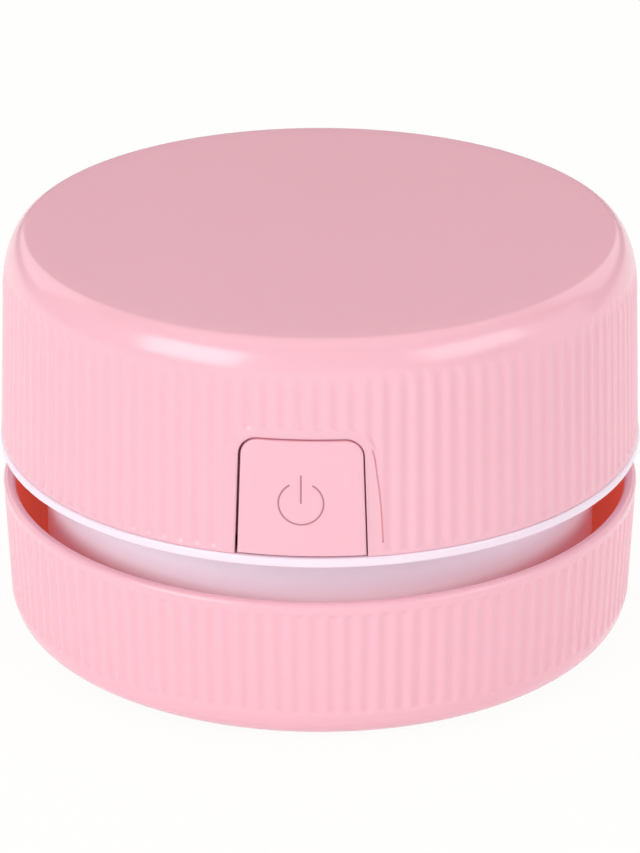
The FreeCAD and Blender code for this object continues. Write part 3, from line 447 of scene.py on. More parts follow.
cap = {
    "foot": capLow.z,
    "top": capHigh.z,
    "shoulderHeight": 8.2 * mm,
    "shoulderWidth": 3.6 * mm,
    "flatShare": 0.93,         # of the flat top, that stays flat in the shading
    "roof": 1.8 * mm,
    "footRound": 0.25 * mm,
    "footBand": 1.6 * mm,
    "closeRows": (0.8 * mm, 4.0 * mm),     # above and below the button frame's top, where the ribs fade out
    "insideStep": 8.0 * mm,
    "ribFoot": 0.3 * mm,
    "ribTop": 4.6 * mm,        # above the start of the shoulder
    "ribFadeTop": 2.6 * mm,
    "ribFadeFoot": 0.9 * mm,
    "ribPhase": 0.5,           # in ribs
    "rearHalf": 12.0 * mm,     # plain field round the charging socket
    "rearTop": 39.9 * mm,
    "socketPlay": 0.35 * mm,
    "socketSides": 24,
    "lampHole": 0.9 * mm,
    "lampSides": 18,
    "cutOuter": 50.0 * mm,     # openings are cut between these distances from the axis
    "cutInner": 34.0 * mm,
}
cap["shoulder"] = cap["top"] - cap["shoulderHeight"]

button = {
    "seam": 0.25 * mm,
    "footWidth": 16.65 * mm,
    "topWidth": 15.5 * mm,
    "height": 15.85 * mm,
    "corner": 2.3 * mm,
    "wall": 1.5 * mm,
    "edgeRound": 0.22 * mm,
    "capEdgeRound": 0.2 * mm,
    "frame": 1.5 * mm,
    "frameFoot": 2.0 * mm,
    "frameFade": 0.3 * mm,
    "aside": 0.07 * mm,        # the tile rests a little to one side of its opening
    # where the insert that moulds the plain frame met the ribbed mould: (x, z) points in mm
    "witnessLine": ((9.05, 42.5), (9.37, 41.2), (9.69, 38.75), (9.95, 36.9), (10.16, 35.05), (10.41, 31.4),
                    (10.48, 29.6)),
    "witnessWidth": 0.2 * mm,
    "witnessDepth": 0.18 * mm,
    "flangeInner": 40.4 * mm,
    "flangeOuter": 41.4 * mm,
    "flangeFoot": 1.5 * mm,
    "flangeTop": 1.2 * mm,     # above the tile
    "linkInner": 41.2 * mm,
    "linkOuter": 42.2 * mm,
    "linkHalf": 7.0 * mm,
    "linkFoot": 0.4 * mm,
    "linkTop": 0.6 * mm,       # below the tile's top
    "stemRadius": 1.7 * mm,
    "stemRise": 7.8 * mm,
    "stemFront": 41.0 * mm,
    "stemSides": 30,
    "slabSteps": 16,
    "footSteps": 20,
    # rings of faces over the tile's front, as shares of its size
    "faceRings": (0.97, 0.9, 0.8, 0.68, 0.55, 0.42, 0.3, 0.18, 0.08),
}
button["foot"] = cap["foot"] + button["seam"]
button["top"] = button["foot"] + button["height"]

base = {
    "underside": 0.5 * mm,
    "rim": baseHigh.z,
    "floor": 1.8 * mm,
    "corner": 4.0 * mm,
    "cornerShare": 0.96,       # the corner's height as a share of its width
    "lipRound": 0.7 * mm,
    "insideRound": 1.2 * mm,
    "hole": 24.55 * mm,
    "holeEdge": 0.2 * mm,
    "footOuter": 39.05 * mm,
    "footInner": 36.25 * mm,
    "footEdge": ((0.1 * mm, 0.1 * mm), (0.3 * mm, 0.0)),      # in from the side, height
    "floorSteps": (30.0 * mm, 32.0 * mm),                     # radii of points on the floor, below and above
    "ribFoot": 4.0 * mm,       # above the underside
    "ribTop": 1.35 * mm,       # below the rim
    "ribFade": 0.7 * mm,
    "closeRows": 1.0 * mm,     # beside the ends of the ribs, where the rows are closest
    "insideRows": (2.5 * mm, 2.0 * mm),     # above the floor, below the rim
    "ribPhase": 0.68,
    "screwCircle": 28.0 * mm,
    "screws": 3,
    "screwSides": 36,
    "screwSink": (1.95 * mm, -1.0 * mm, 1.7 * mm),            # radius, low, high
    "screwHole": (1.2 * mm, 1.0 * mm, 4.0 * mm),
}


def capRadius(z):
    share = (z - cap["foot"]) / (cap["shoulder"] - cap["foot"])
    return shell["radius"] - shell["draft"] * min(max(share, 0.0), 1.0)


def baseRadius(z):
    share = (z - base["underside"]) / (base["rim"] - base["underside"])
    return shell["radius"] - shell["draft"] * (1.0 - share)


def ease(value):
    value = min(max(value, 0.0), 1.0)
    return value * value * (3 - 2 * value)


def sectionMesh(name, points):
    # points are (radius, height, share of the rib's depth, 1 where the face is on the inside)
    mesh = bpy.data.meshes.new(name)
    count = len(points)
    mesh.from_pydata([(p[0], 0, p[1]) for p in points], [(i, (i + 1) % count) for i in range(count)], [])
    for index, label in ((2, "ribShare"), (3, "inside")):
        layer = mesh.attributes.new(label, "FLOAT", "POINT")
        layer.data.foreach_set("value", [p[index] for p in points])
    return mesh


def ribbedShellTree():
    # a closed section turned about the axis, with grooves between the ribs; a window at the front and one at
    # the back stay plain
    tree, given = newTree("ribbedShell", {
        "Section": "Geometry", "Columns": "Int", "Ribs": "Int", "Rib Depth": "Float", "Groove Shape": "Float",
        "Front Foot": "Float", "Front Half Foot": "Float", "Front Half Top": "Float", "Front Top": "Float",
        "Front Corner": "Float", "Rear Half": "Float", "Rear Top": "Float", "Window Fade": "Float",
        "Phase": "Float", "Outside": "Material", "Inside": "Material"}, "Shell")
    size = addNode(tree, "GeometryNodeAttributeDomainSize", {"Geometry": given["Section"]})
    points = size.outputs["Point Count"]
    rows = addNode(tree, maths, {0: points, 1: 1.0}, operation="ADD")
    columns = addNode(tree, maths, {0: given["Columns"], 1: 1.0}, operation="ADD")
    grid = addNode(tree, "GeometryNodeMeshGrid", {"Vertices X": columns, "Vertices Y": rows})
    index = addNode(tree, "GeometryNodeInputIndex")
    gridRow = addNode(tree, maths, {0: index, 1: rows}, operation="MODULO")
    row = addNode(tree, maths, {0: gridRow, 1: points}, operation="MODULO")
    place = addNode(tree, maths, {0: index, 1: rows}, operation="DIVIDE")
    column = addNode(tree, maths, {0: place}, operation="FLOOR")
    share = addNode(tree, maths, {0: column, 1: given["Columns"]}, operation="DIVIDE")
    turn = addNode(tree, maths, {0: share, 1: 2 * math.pi}, operation="MULTIPLY")

    sources = {"place": addNode(tree, "GeometryNodeInputPosition")}
    for label in ("ribShare", "inside"):
        sources[label] = addNode(tree, "GeometryNodeInputNamedAttribute", {"Name": label}, data_type="FLOAT")
    sampled = {}
    for label, source in sources.items():
        kind = "FLOAT_VECTOR" if label == "place" else "FLOAT"
        sampled[label] = addNode(tree, "GeometryNodeSampleIndex", {
            "Geometry": given["Section"], "Index": row}, data_type=kind, domain="POINT")
        tree.links.new(source.outputs[0], sampled[label].inputs["Value"])
    radius, _, height = addNode(tree, "ShaderNodeSeparateXYZ", {0: sampled["place"]}).outputs

    sine = addNode(tree, maths, {0: turn}, operation="SINE")
    cosine = addNode(tree, maths, {0: turn}, operation="COSINE")
    across = addNode(tree, maths, {0: radius, 1: cosine}, operation="MULTIPLY")
    fromMiddle = addNode(tree, maths, {0: across}, operation="ABSOLUTE")
    along = addNode(tree, maths, {0: radius, 1: sine}, operation="MULTIPLY")
    windows = []
    for halfFoot, halfTop, top, facing in (("Front Half Foot", "Front Half Top", "Front Top", 1.0),
                                           ("Rear Half", "Rear Half", "Rear Top", -1.0)):
        # 0 within a rounded window on one side of the shell, 1 outside it
        half = addNode(tree, "ShaderNodeMapRange", {0: height, 1: given["Front Foot"], 2: given[top],
                                                    3: given[halfFoot], 4: given[halfTop]}, clamp=False)
        aside = addNode(tree, maths, {0: fromMiddle, 1: half}, operation="SUBTRACT")
        above = addNode(tree, maths, {0: height, 1: given[top]}, operation="SUBTRACT")
        sideways = addNode(tree, maths, {0: aside, 1: given["Front Corner"]}, operation="ADD")
        upwards = addNode(tree, maths, {0: above, 1: given["Front Corner"]}, operation="ADD")
        both = addNode(tree, "ShaderNodeCombineXYZ", {0: sideways, 1: upwards})
        beyond = addNode(tree, vectorMaths, {0: both, 1: (0.0, 0.0, 0.0)}, operation="MAXIMUM")
        outer = addNode(tree, vectorMaths, {0: beyond}, operation="LENGTH").outputs["Value"]
        nearest = addNode(tree, maths, {0: sideways, 1: upwards}, operation="MAXIMUM")
        inner = addNode(tree, maths, {0: nearest, 1: 0.0}, operation="MINIMUM")
        rounded = addNode(tree, maths, {0: outer, 1: inner}, operation="ADD")
        distance = addNode(tree, maths, {0: rounded, 1: given["Front Corner"]}, operation="SUBTRACT")
        faded = addNode(tree, "ShaderNodeMapRange", {0: distance, 1: 0.0, 2: given["Window Fade"], 3: 0.0,
                                                     4: 1.0}, interpolation_type="SMOOTHSTEP")
        side = addNode(tree, maths, {0: along, 1: facing}, operation="MULTIPLY")
        otherSide = addNode(tree, maths, {0: side, 1: 0.0}, operation="GREATER_THAN")
        windows.append(addNode(tree, maths, {0: faded, 1: otherSide}, operation="MAXIMUM"))

    phase = addNode(tree, maths, {0: given["Phase"], 1: 2 * math.pi}, operation="MULTIPLY")
    phased = addNode(tree, maths, {0: turn, 1: given["Ribs"], 2: phase}, operation="MULTIPLY_ADD")
    swing = addNode(tree, maths, {0: phased}, operation="COSINE")
    wave = addNode(tree, maths, {0: swing, 1: -0.5, 2: 0.5}, operation="MULTIPLY_ADD")
    depth = addNode(tree, maths, {0: wave, 1: given["Groove Shape"]}, operation="POWER")
    for factor in (sampled["ribShare"], given["Rib Depth"], *windows):
        depth = addNode(tree, maths, {0: depth, 1: factor}, operation="MULTIPLY")
    reach = addNode(tree, maths, {0: radius, 1: depth}, operation="SUBTRACT")
    x = addNode(tree, maths, {0: reach, 1: cosine}, operation="MULTIPLY")
    y = addNode(tree, maths, {0: reach, 1: sine}, operation="MULTIPLY")
    spot = addNode(tree, "ShaderNodeCombineXYZ", {0: x, 1: y, 2: height})
    kept = addNode(tree, "GeometryNodeStoreNamedAttribute", {"Geometry": grid, "Name": "inside"},
                   data_type="FLOAT", domain="POINT")
    tree.links.new(sampled["inside"].outputs[0], kept.inputs["Value"])
    shaped = addNode(tree, "GeometryNodeSetPosition", {"Geometry": kept, "Position": spot})
    closed = addNode(tree, "GeometryNodeMergeByDistance", {"Geometry": shaped, "Distance": shell["weld"]})
    real = addNode(tree, "GeometryNodeRealizeInstances", {"Geometry": closed})
    outside = addNode(tree, "GeometryNodeSetMaterial", {"Geometry": real, "Material": given["Outside"]})
    # a face is on the inside when all its corners are, so that their mean is 1
    isInside = addNode(tree, maths, {0: sources["inside"], 1: 0.75}, operation="GREATER_THAN")
    inside = addNode(tree, "GeometryNodeSetMaterial", {"Geometry": outside, "Selection": isInside,
                                                       "Material": given["Inside"]})
    addNode(tree, "NodeGroupOutput", {0: inside})
    return tree


shellTree = ribbedShellTree()


def ribbedShell(name, section, inputs):
    return recalculated(grown(name, sectionMesh(name + "Section", section), shellTree, {
        "Columns": shell["ribs"] * shell["columnsPerRib"], "Ribs": shell["ribs"],
        "Rib Depth": shell["ribDepth"], "Groove Shape": shell["grooveShape"], **inputs}))


def buttonOutline(grow, low):
    # up the left side, round both upper corners and down the right side, as (x, z) points
    sideSteps, cornerSteps, sideEnd = 14, 12, 0.985      # the side stops just short of the corner's arc
    top = button["top"] + grow
    radius = button["corner"] + grow
    lean = (button["footWidth"] - button["topWidth"]) / 2 / button["height"]
    halfFoot = button["footWidth"] / 2 + grow + lean * (button["foot"] - low)
    halfTop = button["topWidth"] / 2 + grow - lean * grow
    tilt = math.atan(lean)
    centreZ = top - radius
    centreX = halfTop + lean * radius - radius / math.cos(tilt)
    side = [(halfFoot + (halfTop + lean * radius - halfFoot) * s, low + (centreZ - low) * s)
            for s in spread(0.0, sideEnd, sideSteps)]
    arc = [(centreX + radius * math.cos(angle), centreZ + radius * math.sin(angle))
           for angle in spread(tilt, math.pi / 2, cornerSteps)]
    right = side + arc
    middle = [(x, top) for x in spread(centreX, -centreX, cornerSteps)[1:-1]]
    return right + middle + [(-x, z) for x, z in reversed(right)]


def faceStrip(name, centres, halfWidth, proud, sunk, material=None):
    # strip along a run of (x, z) points, from under the cap's face to above it
    rings = []
    for i, (x, z) in enumerate(centres):
        before, after = centres[max(i - 1, 0)], centres[min(i + 1, len(centres) - 1)]
        way = Vector((after[0] - before[0], after[1] - before[1])).normalized()
        side = Vector((-way.y, way.x)) * halfWidth
        ring = []
        for reach, rise in ((1, -sunk), (1, proud), (-1, proud), (-1, -sunk)):
            spotZ = z + side.y * reach
            ring.append(onFace(x + side.x * reach, spotZ, capRadius(spotZ) + rise))
        rings.append(ring)
    return ringSolid(name, rings, material)


# Cap: closed section from the axis over the top, down the wall and back inside

def capRibShare(z):
    foot = ease((z - cap["foot"] - cap["ribFoot"]) / cap["ribFadeFoot"])
    top = ease((cap["shoulder"] + cap["ribTop"] - z) / cap["ribFadeTop"])
    return foot * top


def capSection():
    flat = capRadius(cap["shoulder"]) - cap["shoulderWidth"]
    shoulder = quarter((flat, cap["shoulder"]), cap["shoulderWidth"], cap["shoulderHeight"], 0, 22)
    frameTop = button["top"] + button["frame"]
    above, below = cap["closeRows"]
    heights = levels(cap["shoulder"], (frameTop + above, 3), (frameTop - below, 16),
                     (cap["foot"] + cap["footBand"], 5), (cap["foot"] + cap["footRound"] + 0.05 * mm, 8))
    outer = [(0.0, cap["top"]), (flat * cap["flatShare"], cap["top"])] + list(reversed(shoulder))
    outer += [(capRadius(z), z) for z in heights[1:]]
    outer += quarter((capRadius(cap["foot"]) - cap["footRound"], cap["foot"] + cap["footRound"]),
                     cap["footRound"], -cap["footRound"], 0, 4)
    inner = [(capRadius(z) - shell["wall"], z)
             for z in (cap["foot"], cap["foot"] + cap["insideStep"], cap["shoulder"])]
    roof = cap["top"] - cap["roof"]
    inner += quarter((flat, cap["shoulder"]), cap["shoulderWidth"] - shell["wall"], roof - cap["shoulder"],
                     0, 4)[1:]
    inner.append((0.0, roof))
    return [(r, z, capRibShare(z), 0.0) for r, z in outer] + [(r, z, 0.0, 0.0) for r, z in inner]


def openingEdge():
    # rounded edge along the button's opening, running on inwards as the wall of the opening
    edge = button["capEdgeRound"]
    sinks = [(edge * (1 - math.sin(turn)), edge * (1 - math.cos(turn)))
             for turn in spread(0.0, math.pi / 2, 5)]
    sinks.append((0.0, shell["wall"]))
    verts = []
    for grow, sink in sinks:
        outline = buttonOutline(button["seam"] + grow, cap["foot"])
        verts += [onFace(x, z, capRadius(z) - sink) for x, z in outline]
    faces = bandFaces(len(sinks), len(outline), closed=False)
    return recalculated(newObject("openingEdge", meshOf("openingEdge", verts, faces, "blushAbs")),
                        facing=Vector((0, -1, 0)))


def socketSlot(low, high):
    # round-ended slot for the charging socket, as (x, z) points
    half, rise = high.x + cap["socketPlay"], (high.z - low.z) / 2 + cap["socketPlay"]
    outline = []
    for step in range(cap["socketSides"]):
        angle = math.radians(-90 + 360 * (step + 0.5) / cap["socketSides"])
        shift = (half - rise) * (1 if math.cos(angle) > 0 else -1)
        outline.append((shift + rise * math.cos(angle), (low.z + high.z) / 2 + rise * math.sin(angle)))
    return outline


capSkin = ribbedShell("capSkin", capSection(), {
    "Phase": cap["ribPhase"], "Front Foot": cap["foot"],
    "Front Half Foot": button["footWidth"] / 2 + button["frameFoot"],
    "Front Half Top": button["topWidth"] / 2 + button["frame"], "Front Top": button["top"] + button["frame"],
    "Front Corner": button["corner"] + button["frame"], "Rear Half": cap["rearHalf"],
    "Rear Top": cap["rearTop"], "Window Fade": button["frameFade"],
    "Outside": finish["blushAbs"], "Inside": finish["blushAbs"]})
socketLow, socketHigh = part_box("usb_socket")
lampLow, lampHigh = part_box("charge_lamp")
opening = buttonOutline(button["seam"] + button["capEdgeRound"], cap["foot"] - 2 * cutOver)
lampHole = circle(cap["lampHole"], cap["lampSides"], (lampLow.x + lampHigh.x) / 2,
                  (socketHigh.z + socketLow.z) / 2)
keepMaterials(cutAway(capSkin, [
    levelPrism(opening, -cap["cutOuter"], -cap["cutInner"]),
    faceStrip("witnessLine", [(x * mm, z * mm) for x, z in button["witnessLine"]], button["witnessWidth"] / 2,
              cutOver, button["witnessDepth"]),
    levelPrism(socketSlot(socketLow, socketHigh), cap["cutInner"], cap["cutOuter"]),
    levelPrism(lampHole, cap["cutInner"], cap["cutOuter"])]), ["blushAbs"])
joined(capSkin, [openingEdge()])
smoothByAngle(capSkin, shell["smoothAngle"])
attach(capSkin, "housing")
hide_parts("top_cap")
print("cap:", len(capSkin.data.polygons), "faces")


# Base: closed section from the lip down the outside, under the floor and up the inside

def baseRibShare(z):
    foot = ease((z - base["underside"] - base["ribFoot"]) / base["ribFade"])
    top = ease((base["rim"] - base["ribTop"] - z) / base["ribFade"])
    return foot * top


def baseSection():
    lip, rim, underside = base["lipRound"], base["rim"], base["underside"]
    ribTop, ribFoot = rim - base["ribTop"], underside + base["ribFoot"]
    rimOuter, footRadius = baseRadius(rim), baseRadius(underside)
    outer = quarter((rimOuter - lip, rim - lip), lip, lip, 0, 8)[::-1]
    heights = levels(ribTop, (ribTop - base["closeRows"], 5), (ribFoot + base["closeRows"], 4),
                     (ribFoot - 0.1 * mm, 5))
    outer += [(baseRadius(z), z) for z in heights]
    cornerHeight = base["corner"] * base["cornerShare"]
    outer += quarter((footRadius - base["corner"], underside + cornerHeight), base["corner"], -cornerHeight,
                     0, 12)[1:]
    outer += [(base["footOuter"], underside)] + [(base["footOuter"] - r, z) for r, z in base["footEdge"]]
    outer += [(base["footInner"] + r, z) for r, z in reversed(base["footEdge"])]
    outer += [(base["footInner"], underside), (base["floorSteps"][0], underside),
              (base["hole"] + base["holeEdge"], underside), (base["hole"], underside + base["holeEdge"])]
    floorTop = underside + base["floor"]
    inner = [(base["hole"], floorTop), (base["floorSteps"][1], floorTop)]
    bend = base["insideRound"]
    inner += quarter((baseRadius(floorTop) - shell["wall"] - bend, floorTop + bend), bend, bend, -90, 5)
    aboveFloor, belowRim = base["insideRows"]
    inner += [(baseRadius(z) - shell["wall"], z) for z in spread(floorTop + aboveFloor, rim - belowRim, 4)]
    lipInside = quarter((rimOuter - shell["wall"] + lip, rim - lip), -lip, lip, 0, 8)[1:]
    return ([(r, z, baseRibShare(z), 0.0) for r, z in outer] + [(r, z, 0.0, 1.0) for r, z in inner]
            + [(r, z, 0.0, 0.0) for r, z in lipInside])


noWindow = {"Front Foot": -1.0, "Front Half Foot": 0.0, "Front Half Top": 0.0, "Front Top": -0.9,
            "Front Corner": 0.0, "Rear Half": 0.0, "Rear Top": -0.9, "Window Fade": 0.001}
# the inside faces take the painted coral glow, which stands in for light coming through the wall and between
# the walls
baseSkin = ribbedShell("baseSkin", baseSection(), {
    "Phase": base["ribPhase"], "Outside": finish["blushAbs"], "Inside": finish["coralAbs"], **noWindow})
baseCutters = [uprightPrism(circle(radius, base["screwSides"], x, y), low, high)
               for radius, low, high in (base["screwSink"], base["screwHole"])
               for x, y in circle(base["screwCircle"], base["screws"])]
keepMaterials(cutAway(baseSkin, baseCutters), ["blushAbs", "coralAbs"])
smoothByAngle(baseSkin, shell["smoothAngle"])
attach(baseSkin, "base")
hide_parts("base_shell")
print("base:", len(baseSkin.data.polygons), "faces")


# Brush: each tuft is a bunch of tapered bristles that splay out towards the table

brush = {
    "rows": ((15.0 * mm, 26), (18.4 * mm, 32)),      # radius, tufts
    "root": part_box("brush_ring")[0].z + 0.3 * mm,
    "tip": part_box("brush_tufts")[0].z,
    "bristles": 18,
    "tuftRadius": 0.62 * mm,
    "bristleRadius": 0.075 * mm,
    "taper": 0.6,
    "splay": 0.15,
    "lengthShare": 0.985,      # the bristles lean, and still end above the tip's height
    "seed": 7,
}


def bristleTree():
    tree, given = newTree("bristleTufts", {
        "Tufts": "Geometry", "Bristles": "Int", "Tuft Radius": "Float", "Bristle Radius": "Float",
        "Length": "Float", "Splay": "Float", "Seed": "Int", "Material": "Material"}, "Brush")
    copies = addNode(tree, "GeometryNodeDuplicateElements", {"Geometry": given["Tufts"],
                                                             "Amount": given["Bristles"]}, domain="POINT")
    nextSeed = addNode(tree, maths, {0: given["Seed"], 1: 1.0}, operation="ADD")
    turn = addNode(tree, "FunctionNodeRandomValue", {2: 0.0, 3: 2 * math.pi, "Seed": given["Seed"]},
                   data_type="FLOAT").outputs[1]
    share = addNode(tree, "FunctionNodeRandomValue", {2: 0.0, 3: 1.0, "Seed": nextSeed},
                    data_type="FLOAT").outputs[1]
    reach = addNode(tree, maths, {0: share}, operation="SQRT")
    cosine = addNode(tree, maths, {0: turn}, operation="COSINE")
    sine = addNode(tree, maths, {0: turn}, operation="SINE")
    direction = addNode(tree, "ShaderNodeCombineXYZ", {0: cosine, 1: sine})
    sideways = addNode(tree, vectorMaths, {0: direction, "Scale": reach}, operation="SCALE")
    shift = addNode(tree, vectorMaths, {0: sideways, "Scale": given["Tuft Radius"]}, operation="SCALE")
    placed = addNode(tree, "GeometryNodeSetPosition", {"Geometry": copies, "Offset": shift})
    lean = addNode(tree, vectorMaths, {0: sideways, "Scale": given["Splay"]}, operation="SCALE")
    way = addNode(tree, vectorMaths, {0: lean, 1: (0.0, 0.0, -1.0)}, operation="ADD")
    # the direction is kept on the points, because the position has changed by the time they are read
    kept = addNode(tree, "GeometryNodeStoreNamedAttribute", {"Geometry": placed, "Name": "way"},
                   data_type="FLOAT_VECTOR", domain="POINT")
    tree.links.new(way.outputs[0], kept.inputs["Value"])
    read = addNode(tree, "GeometryNodeInputNamedAttribute", {"Name": "way"}, data_type="FLOAT_VECTOR")
    facing = addNode(tree, "FunctionNodeAlignRotationToVector", {"Vector": read}, axis="Z")
    thin = addNode(tree, maths, {0: given["Bristle Radius"], 1: brush["taper"]}, operation="MULTIPLY")
    bristle = addNode(tree, "GeometryNodeMeshCone", {
        "Vertices": 5, "Side Segments": 1, "Radius Top": thin, "Radius Bottom": given["Bristle Radius"],
        "Depth": given["Length"]}, fill_type="NGON")
    bunch = addNode(tree, "GeometryNodeInstanceOnPoints", {"Points": kept, "Instance": bristle,
                                                           "Rotation": facing})
    return finishTree(tree, bunch, given["Material"])


tufts = [(x, y, brush["root"]) for radius, count in brush["rows"] for x, y in circle(radius, count)]
bristles = grown("bristles", meshOf("tufts", tufts, []), bristleTree(), {
    "Bristles": brush["bristles"], "Tuft Radius": brush["tuftRadius"],
    "Bristle Radius": brush["bristleRadius"], "Splay": brush["splay"], "Seed": brush["seed"],
    "Length": (brush["root"] - brush["tip"]) * brush["lengthShare"], "Material": finish["bristleNylon"]})
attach(bristles, "base")
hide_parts("brush_tufts")
print("brush:", len(bristles.data.polygons), "faces")


# Filter: polyester threads woven over and under each other, on a thin felt that stops the fine dust

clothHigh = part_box("filter_mesh")[1]

cloth = {
    "radius": clothHigh.x,
    "spacing": 0.8 * mm,       # coarser than the real 0.2 mm, so that the weave shows
    "threadRadius": 0.12 * mm,
    "shortest": 1.0 * mm,      # half of the shortest thread, at the cloth's edge
    "wave": 0.07 * mm,
    "felt": 0.1 * mm,
    "feltColumns": 96,
}


def wovenTree():
    # threads as long as the round cloth is wide where they lie, a second set crosswise, and the felt
    tree, given = newTree("wovenDisc", {
        "Felt": "Geometry", "Radius": "Float", "Spacing": "Float", "Threads": "Int", "Thread Radius": "Float",
        "Wave": "Float", "Level": "Float", "Material": "Material"}, "Cloth")
    profile = addNode(tree, "GeometryNodeCurvePrimitiveCircle", {"Resolution": 4,
                                                                 "Radius": given["Thread Radius"]})
    thread = addNode(tree, "GeometryNodeCurvePrimitiveLine", {"Start": (-1.0, 0.0, 0.0),
                                                              "End": (1.0, 0.0, 0.0)})
    gaps = addNode(tree, maths, {0: given["Threads"], 1: 1.0}, operation="SUBTRACT")
    width = addNode(tree, maths, {0: gaps, 1: given["Spacing"]}, operation="MULTIPLY")
    edge = addNode(tree, maths, {0: width, 1: -0.5}, operation="MULTIPLY")
    start = addNode(tree, "ShaderNodeCombineXYZ", {1: edge, 2: given["Level"]})
    step = addNode(tree, "ShaderNodeCombineXYZ", {1: given["Spacing"]})
    rows = addNode(tree, "GeometryNodeMeshLine", {"Count": given["Threads"], "Start Location": start,
                                                  "Offset": step})
    x, y, _ = addNode(tree, "ShaderNodeSeparateXYZ", {0: addNode(tree, "GeometryNodeInputPosition")}).outputs
    radiusSquared = addNode(tree, maths, {0: given["Radius"], 1: 2.0}, operation="POWER")
    offSquared = addNode(tree, maths, {0: y, 1: y}, operation="MULTIPLY")
    rest = addNode(tree, maths, {0: radiusSquared, 1: offSquared}, operation="SUBTRACT")
    safe = addNode(tree, maths, {0: rest, 1: cloth["shortest"] ** 2}, operation="MAXIMUM")
    reach = addNode(tree, maths, {0: safe}, operation="SQRT")
    size = addNode(tree, "ShaderNodeCombineXYZ", {0: reach, 1: 1.0, 2: 1.0})
    laid = addNode(tree, "GeometryNodeInstanceOnPoints", {"Points": rows, "Instance": thread, "Scale": size})
    straight = addNode(tree, "GeometryNodeRealizeInstances", {"Geometry": laid})
    crossing = addNode(tree, "GeometryNodeTransform", {"Geometry": straight,
                                                       "Rotation": (0.0, 0.0, math.pi / 2)})
    pitch = addNode(tree, maths, {0: given["Spacing"], 1: 0.5}, operation="MULTIPLY")
    diagonal = addNode(tree, maths, {0: x, 1: y}, operation="ADD")
    crossed = addNode(tree, maths, {0: diagonal, 1: given["Spacing"]}, operation="DIVIDE")
    angle = addNode(tree, maths, {0: crossed, 1: math.pi}, operation="MULTIPLY")
    swing = addNode(tree, maths, {0: angle}, operation="COSINE")
    wave = addNode(tree, maths, {0: swing, 1: given["Wave"]}, operation="MULTIPLY")
    whole = addNode(tree, "GeometryNodeJoinGeometry")
    for threads, side in ((straight, 1.0), (crossing, -1.0)):
        fine = addNode(tree, "GeometryNodeResampleCurve", {"Curve": threads, "Length": pitch}, mode="LENGTH")
        lift = addNode(tree, maths, {0: wave, 1: side}, operation="MULTIPLY")
        rise = addNode(tree, "ShaderNodeCombineXYZ", {2: lift})
        bent = addNode(tree, "GeometryNodeSetPosition", {"Geometry": fine, "Offset": rise})
        solid = addNode(tree, "GeometryNodeCurveToMesh", {"Curve": bent, "Profile Curve": profile,
                                                          "Fill Caps": True})
        tree.links.new(solid.outputs[0], whole.inputs[0])
    tree.links.new(given["Felt"], whole.inputs[0])
    return finishTree(tree, whole, given["Material"])


feltRings = [[(x, y, z) for x, y in circle(cloth["radius"], cloth["feltColumns"])]
             for z in (clothHigh.z - cloth["felt"], clothHigh.z)]
filterCloth = grown("filterCloth", ringMesh("felt", feltRings), wovenTree(), {
    "Radius": cloth["radius"], "Spacing": cloth["spacing"],
    "Threads": int(2 * cloth["radius"] / cloth["spacing"]), "Thread Radius": cloth["threadRadius"],
    "Wave": cloth["wave"], "Level": clothHigh.z - cloth["felt"] - cloth["wave"] - cloth["threadRadius"],
    "Material": finish["filterPolyester"]})
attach(filterCloth, "filter")
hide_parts("filter_mesh")
print("filter cloth:", len(filterCloth.data.polygons), "faces")


# Ring and collar of the housing, turned as one smooth piece each

ringPiece = {
    "outer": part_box("white_ring")[1].x,
    "inner": collarHigh.x - 1.6 * mm,
    "low": collarHigh.z,
    "high": cap["foot"],
    "edgeRound": 0.3 * mm,
    "lip": 42.25 * mm,
    "lipWall": 1.6 * mm,
    "lipRise": 1.5 * mm,
    "buttonGap": 10.2 * mm,    # half the gap in the lip at the button
    "socketGap": 12.0 * mm,    # and at the charging socket
    "gapRise": 5.0 * mm,
    "gapSunk": 0.01 * mm,
    "gapInner": 20.0 * mm,
    "columns": 360,
    "smoothAngle": 40,
}

collarPiece = {
    "outer": collarHigh.x,
    "wall": 1.6 * mm,
    "low": collarLow.z,
    "high": collarHigh.z,
    "edgeRound": 0.4 * mm,
}


def ringSection():
    p, e = ringPiece, ringPiece["edgeRound"]
    section = [(p["inner"], p["low"])]
    section += quarter((p["outer"] - e, p["low"] + e), e, e, -90, 6)
    section += quarter((p["outer"] - e, p["high"] - e), e, e, 0, 6)
    section += [(p["lip"], p["high"]), (p["lip"], p["high"] + p["lipRise"]),
                (p["lip"] - p["lipWall"], p["high"] + p["lipRise"]), (p["lip"] - p["lipWall"], p["high"]),
                (p["inner"], p["high"])]
    return section


def collarSection():
    p, e = collarPiece, collarPiece["edgeRound"]
    inner = p["outer"] - p["wall"]
    section = [(inner, p["low"])] + quarter((p["outer"] - e, p["low"] + e), e, e, -90, 5)
    section += [(p["outer"], z) for z in spread(p["low"] + e + 0.2 * mm, p["high"], 6)]
    return section + [(inner, p["high"])]


def lipGap(half, near, far):
    low, high = cap["foot"] + ringPiece["gapSunk"], cap["foot"] + ringPiece["gapRise"]
    return levelPrism([(-half, low), (half, low), (half, high), (-half, high)], near, far)


whiteRing = turnedSolid("whiteRing", ringSection(), ringPiece["columns"], "pearlAbs")
keepMaterials(cutAway(whiteRing, [
    lipGap(ringPiece["buttonGap"], -cap["cutOuter"], -ringPiece["gapInner"]),
    lipGap(ringPiece["socketGap"], ringPiece["gapInner"], cap["cutOuter"])]), ["pearlAbs"])
smoothByAngle(whiteRing, ringPiece["smoothAngle"])
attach(whiteRing, "housing")
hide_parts("white_ring")
# the collar's material carries a faint painted glow
collar = turnedSolid("collar", collarSection(), ringPiece["columns"], "collarAbs")
smoothByAngle(collar, ringPiece["smoothAngle"])
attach(collar, "housing")
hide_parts("housing_collar")
print("ring and collar done")


# Screws: a domed pan head with a cross recess and a threaded shank, put where the CAD holds each one

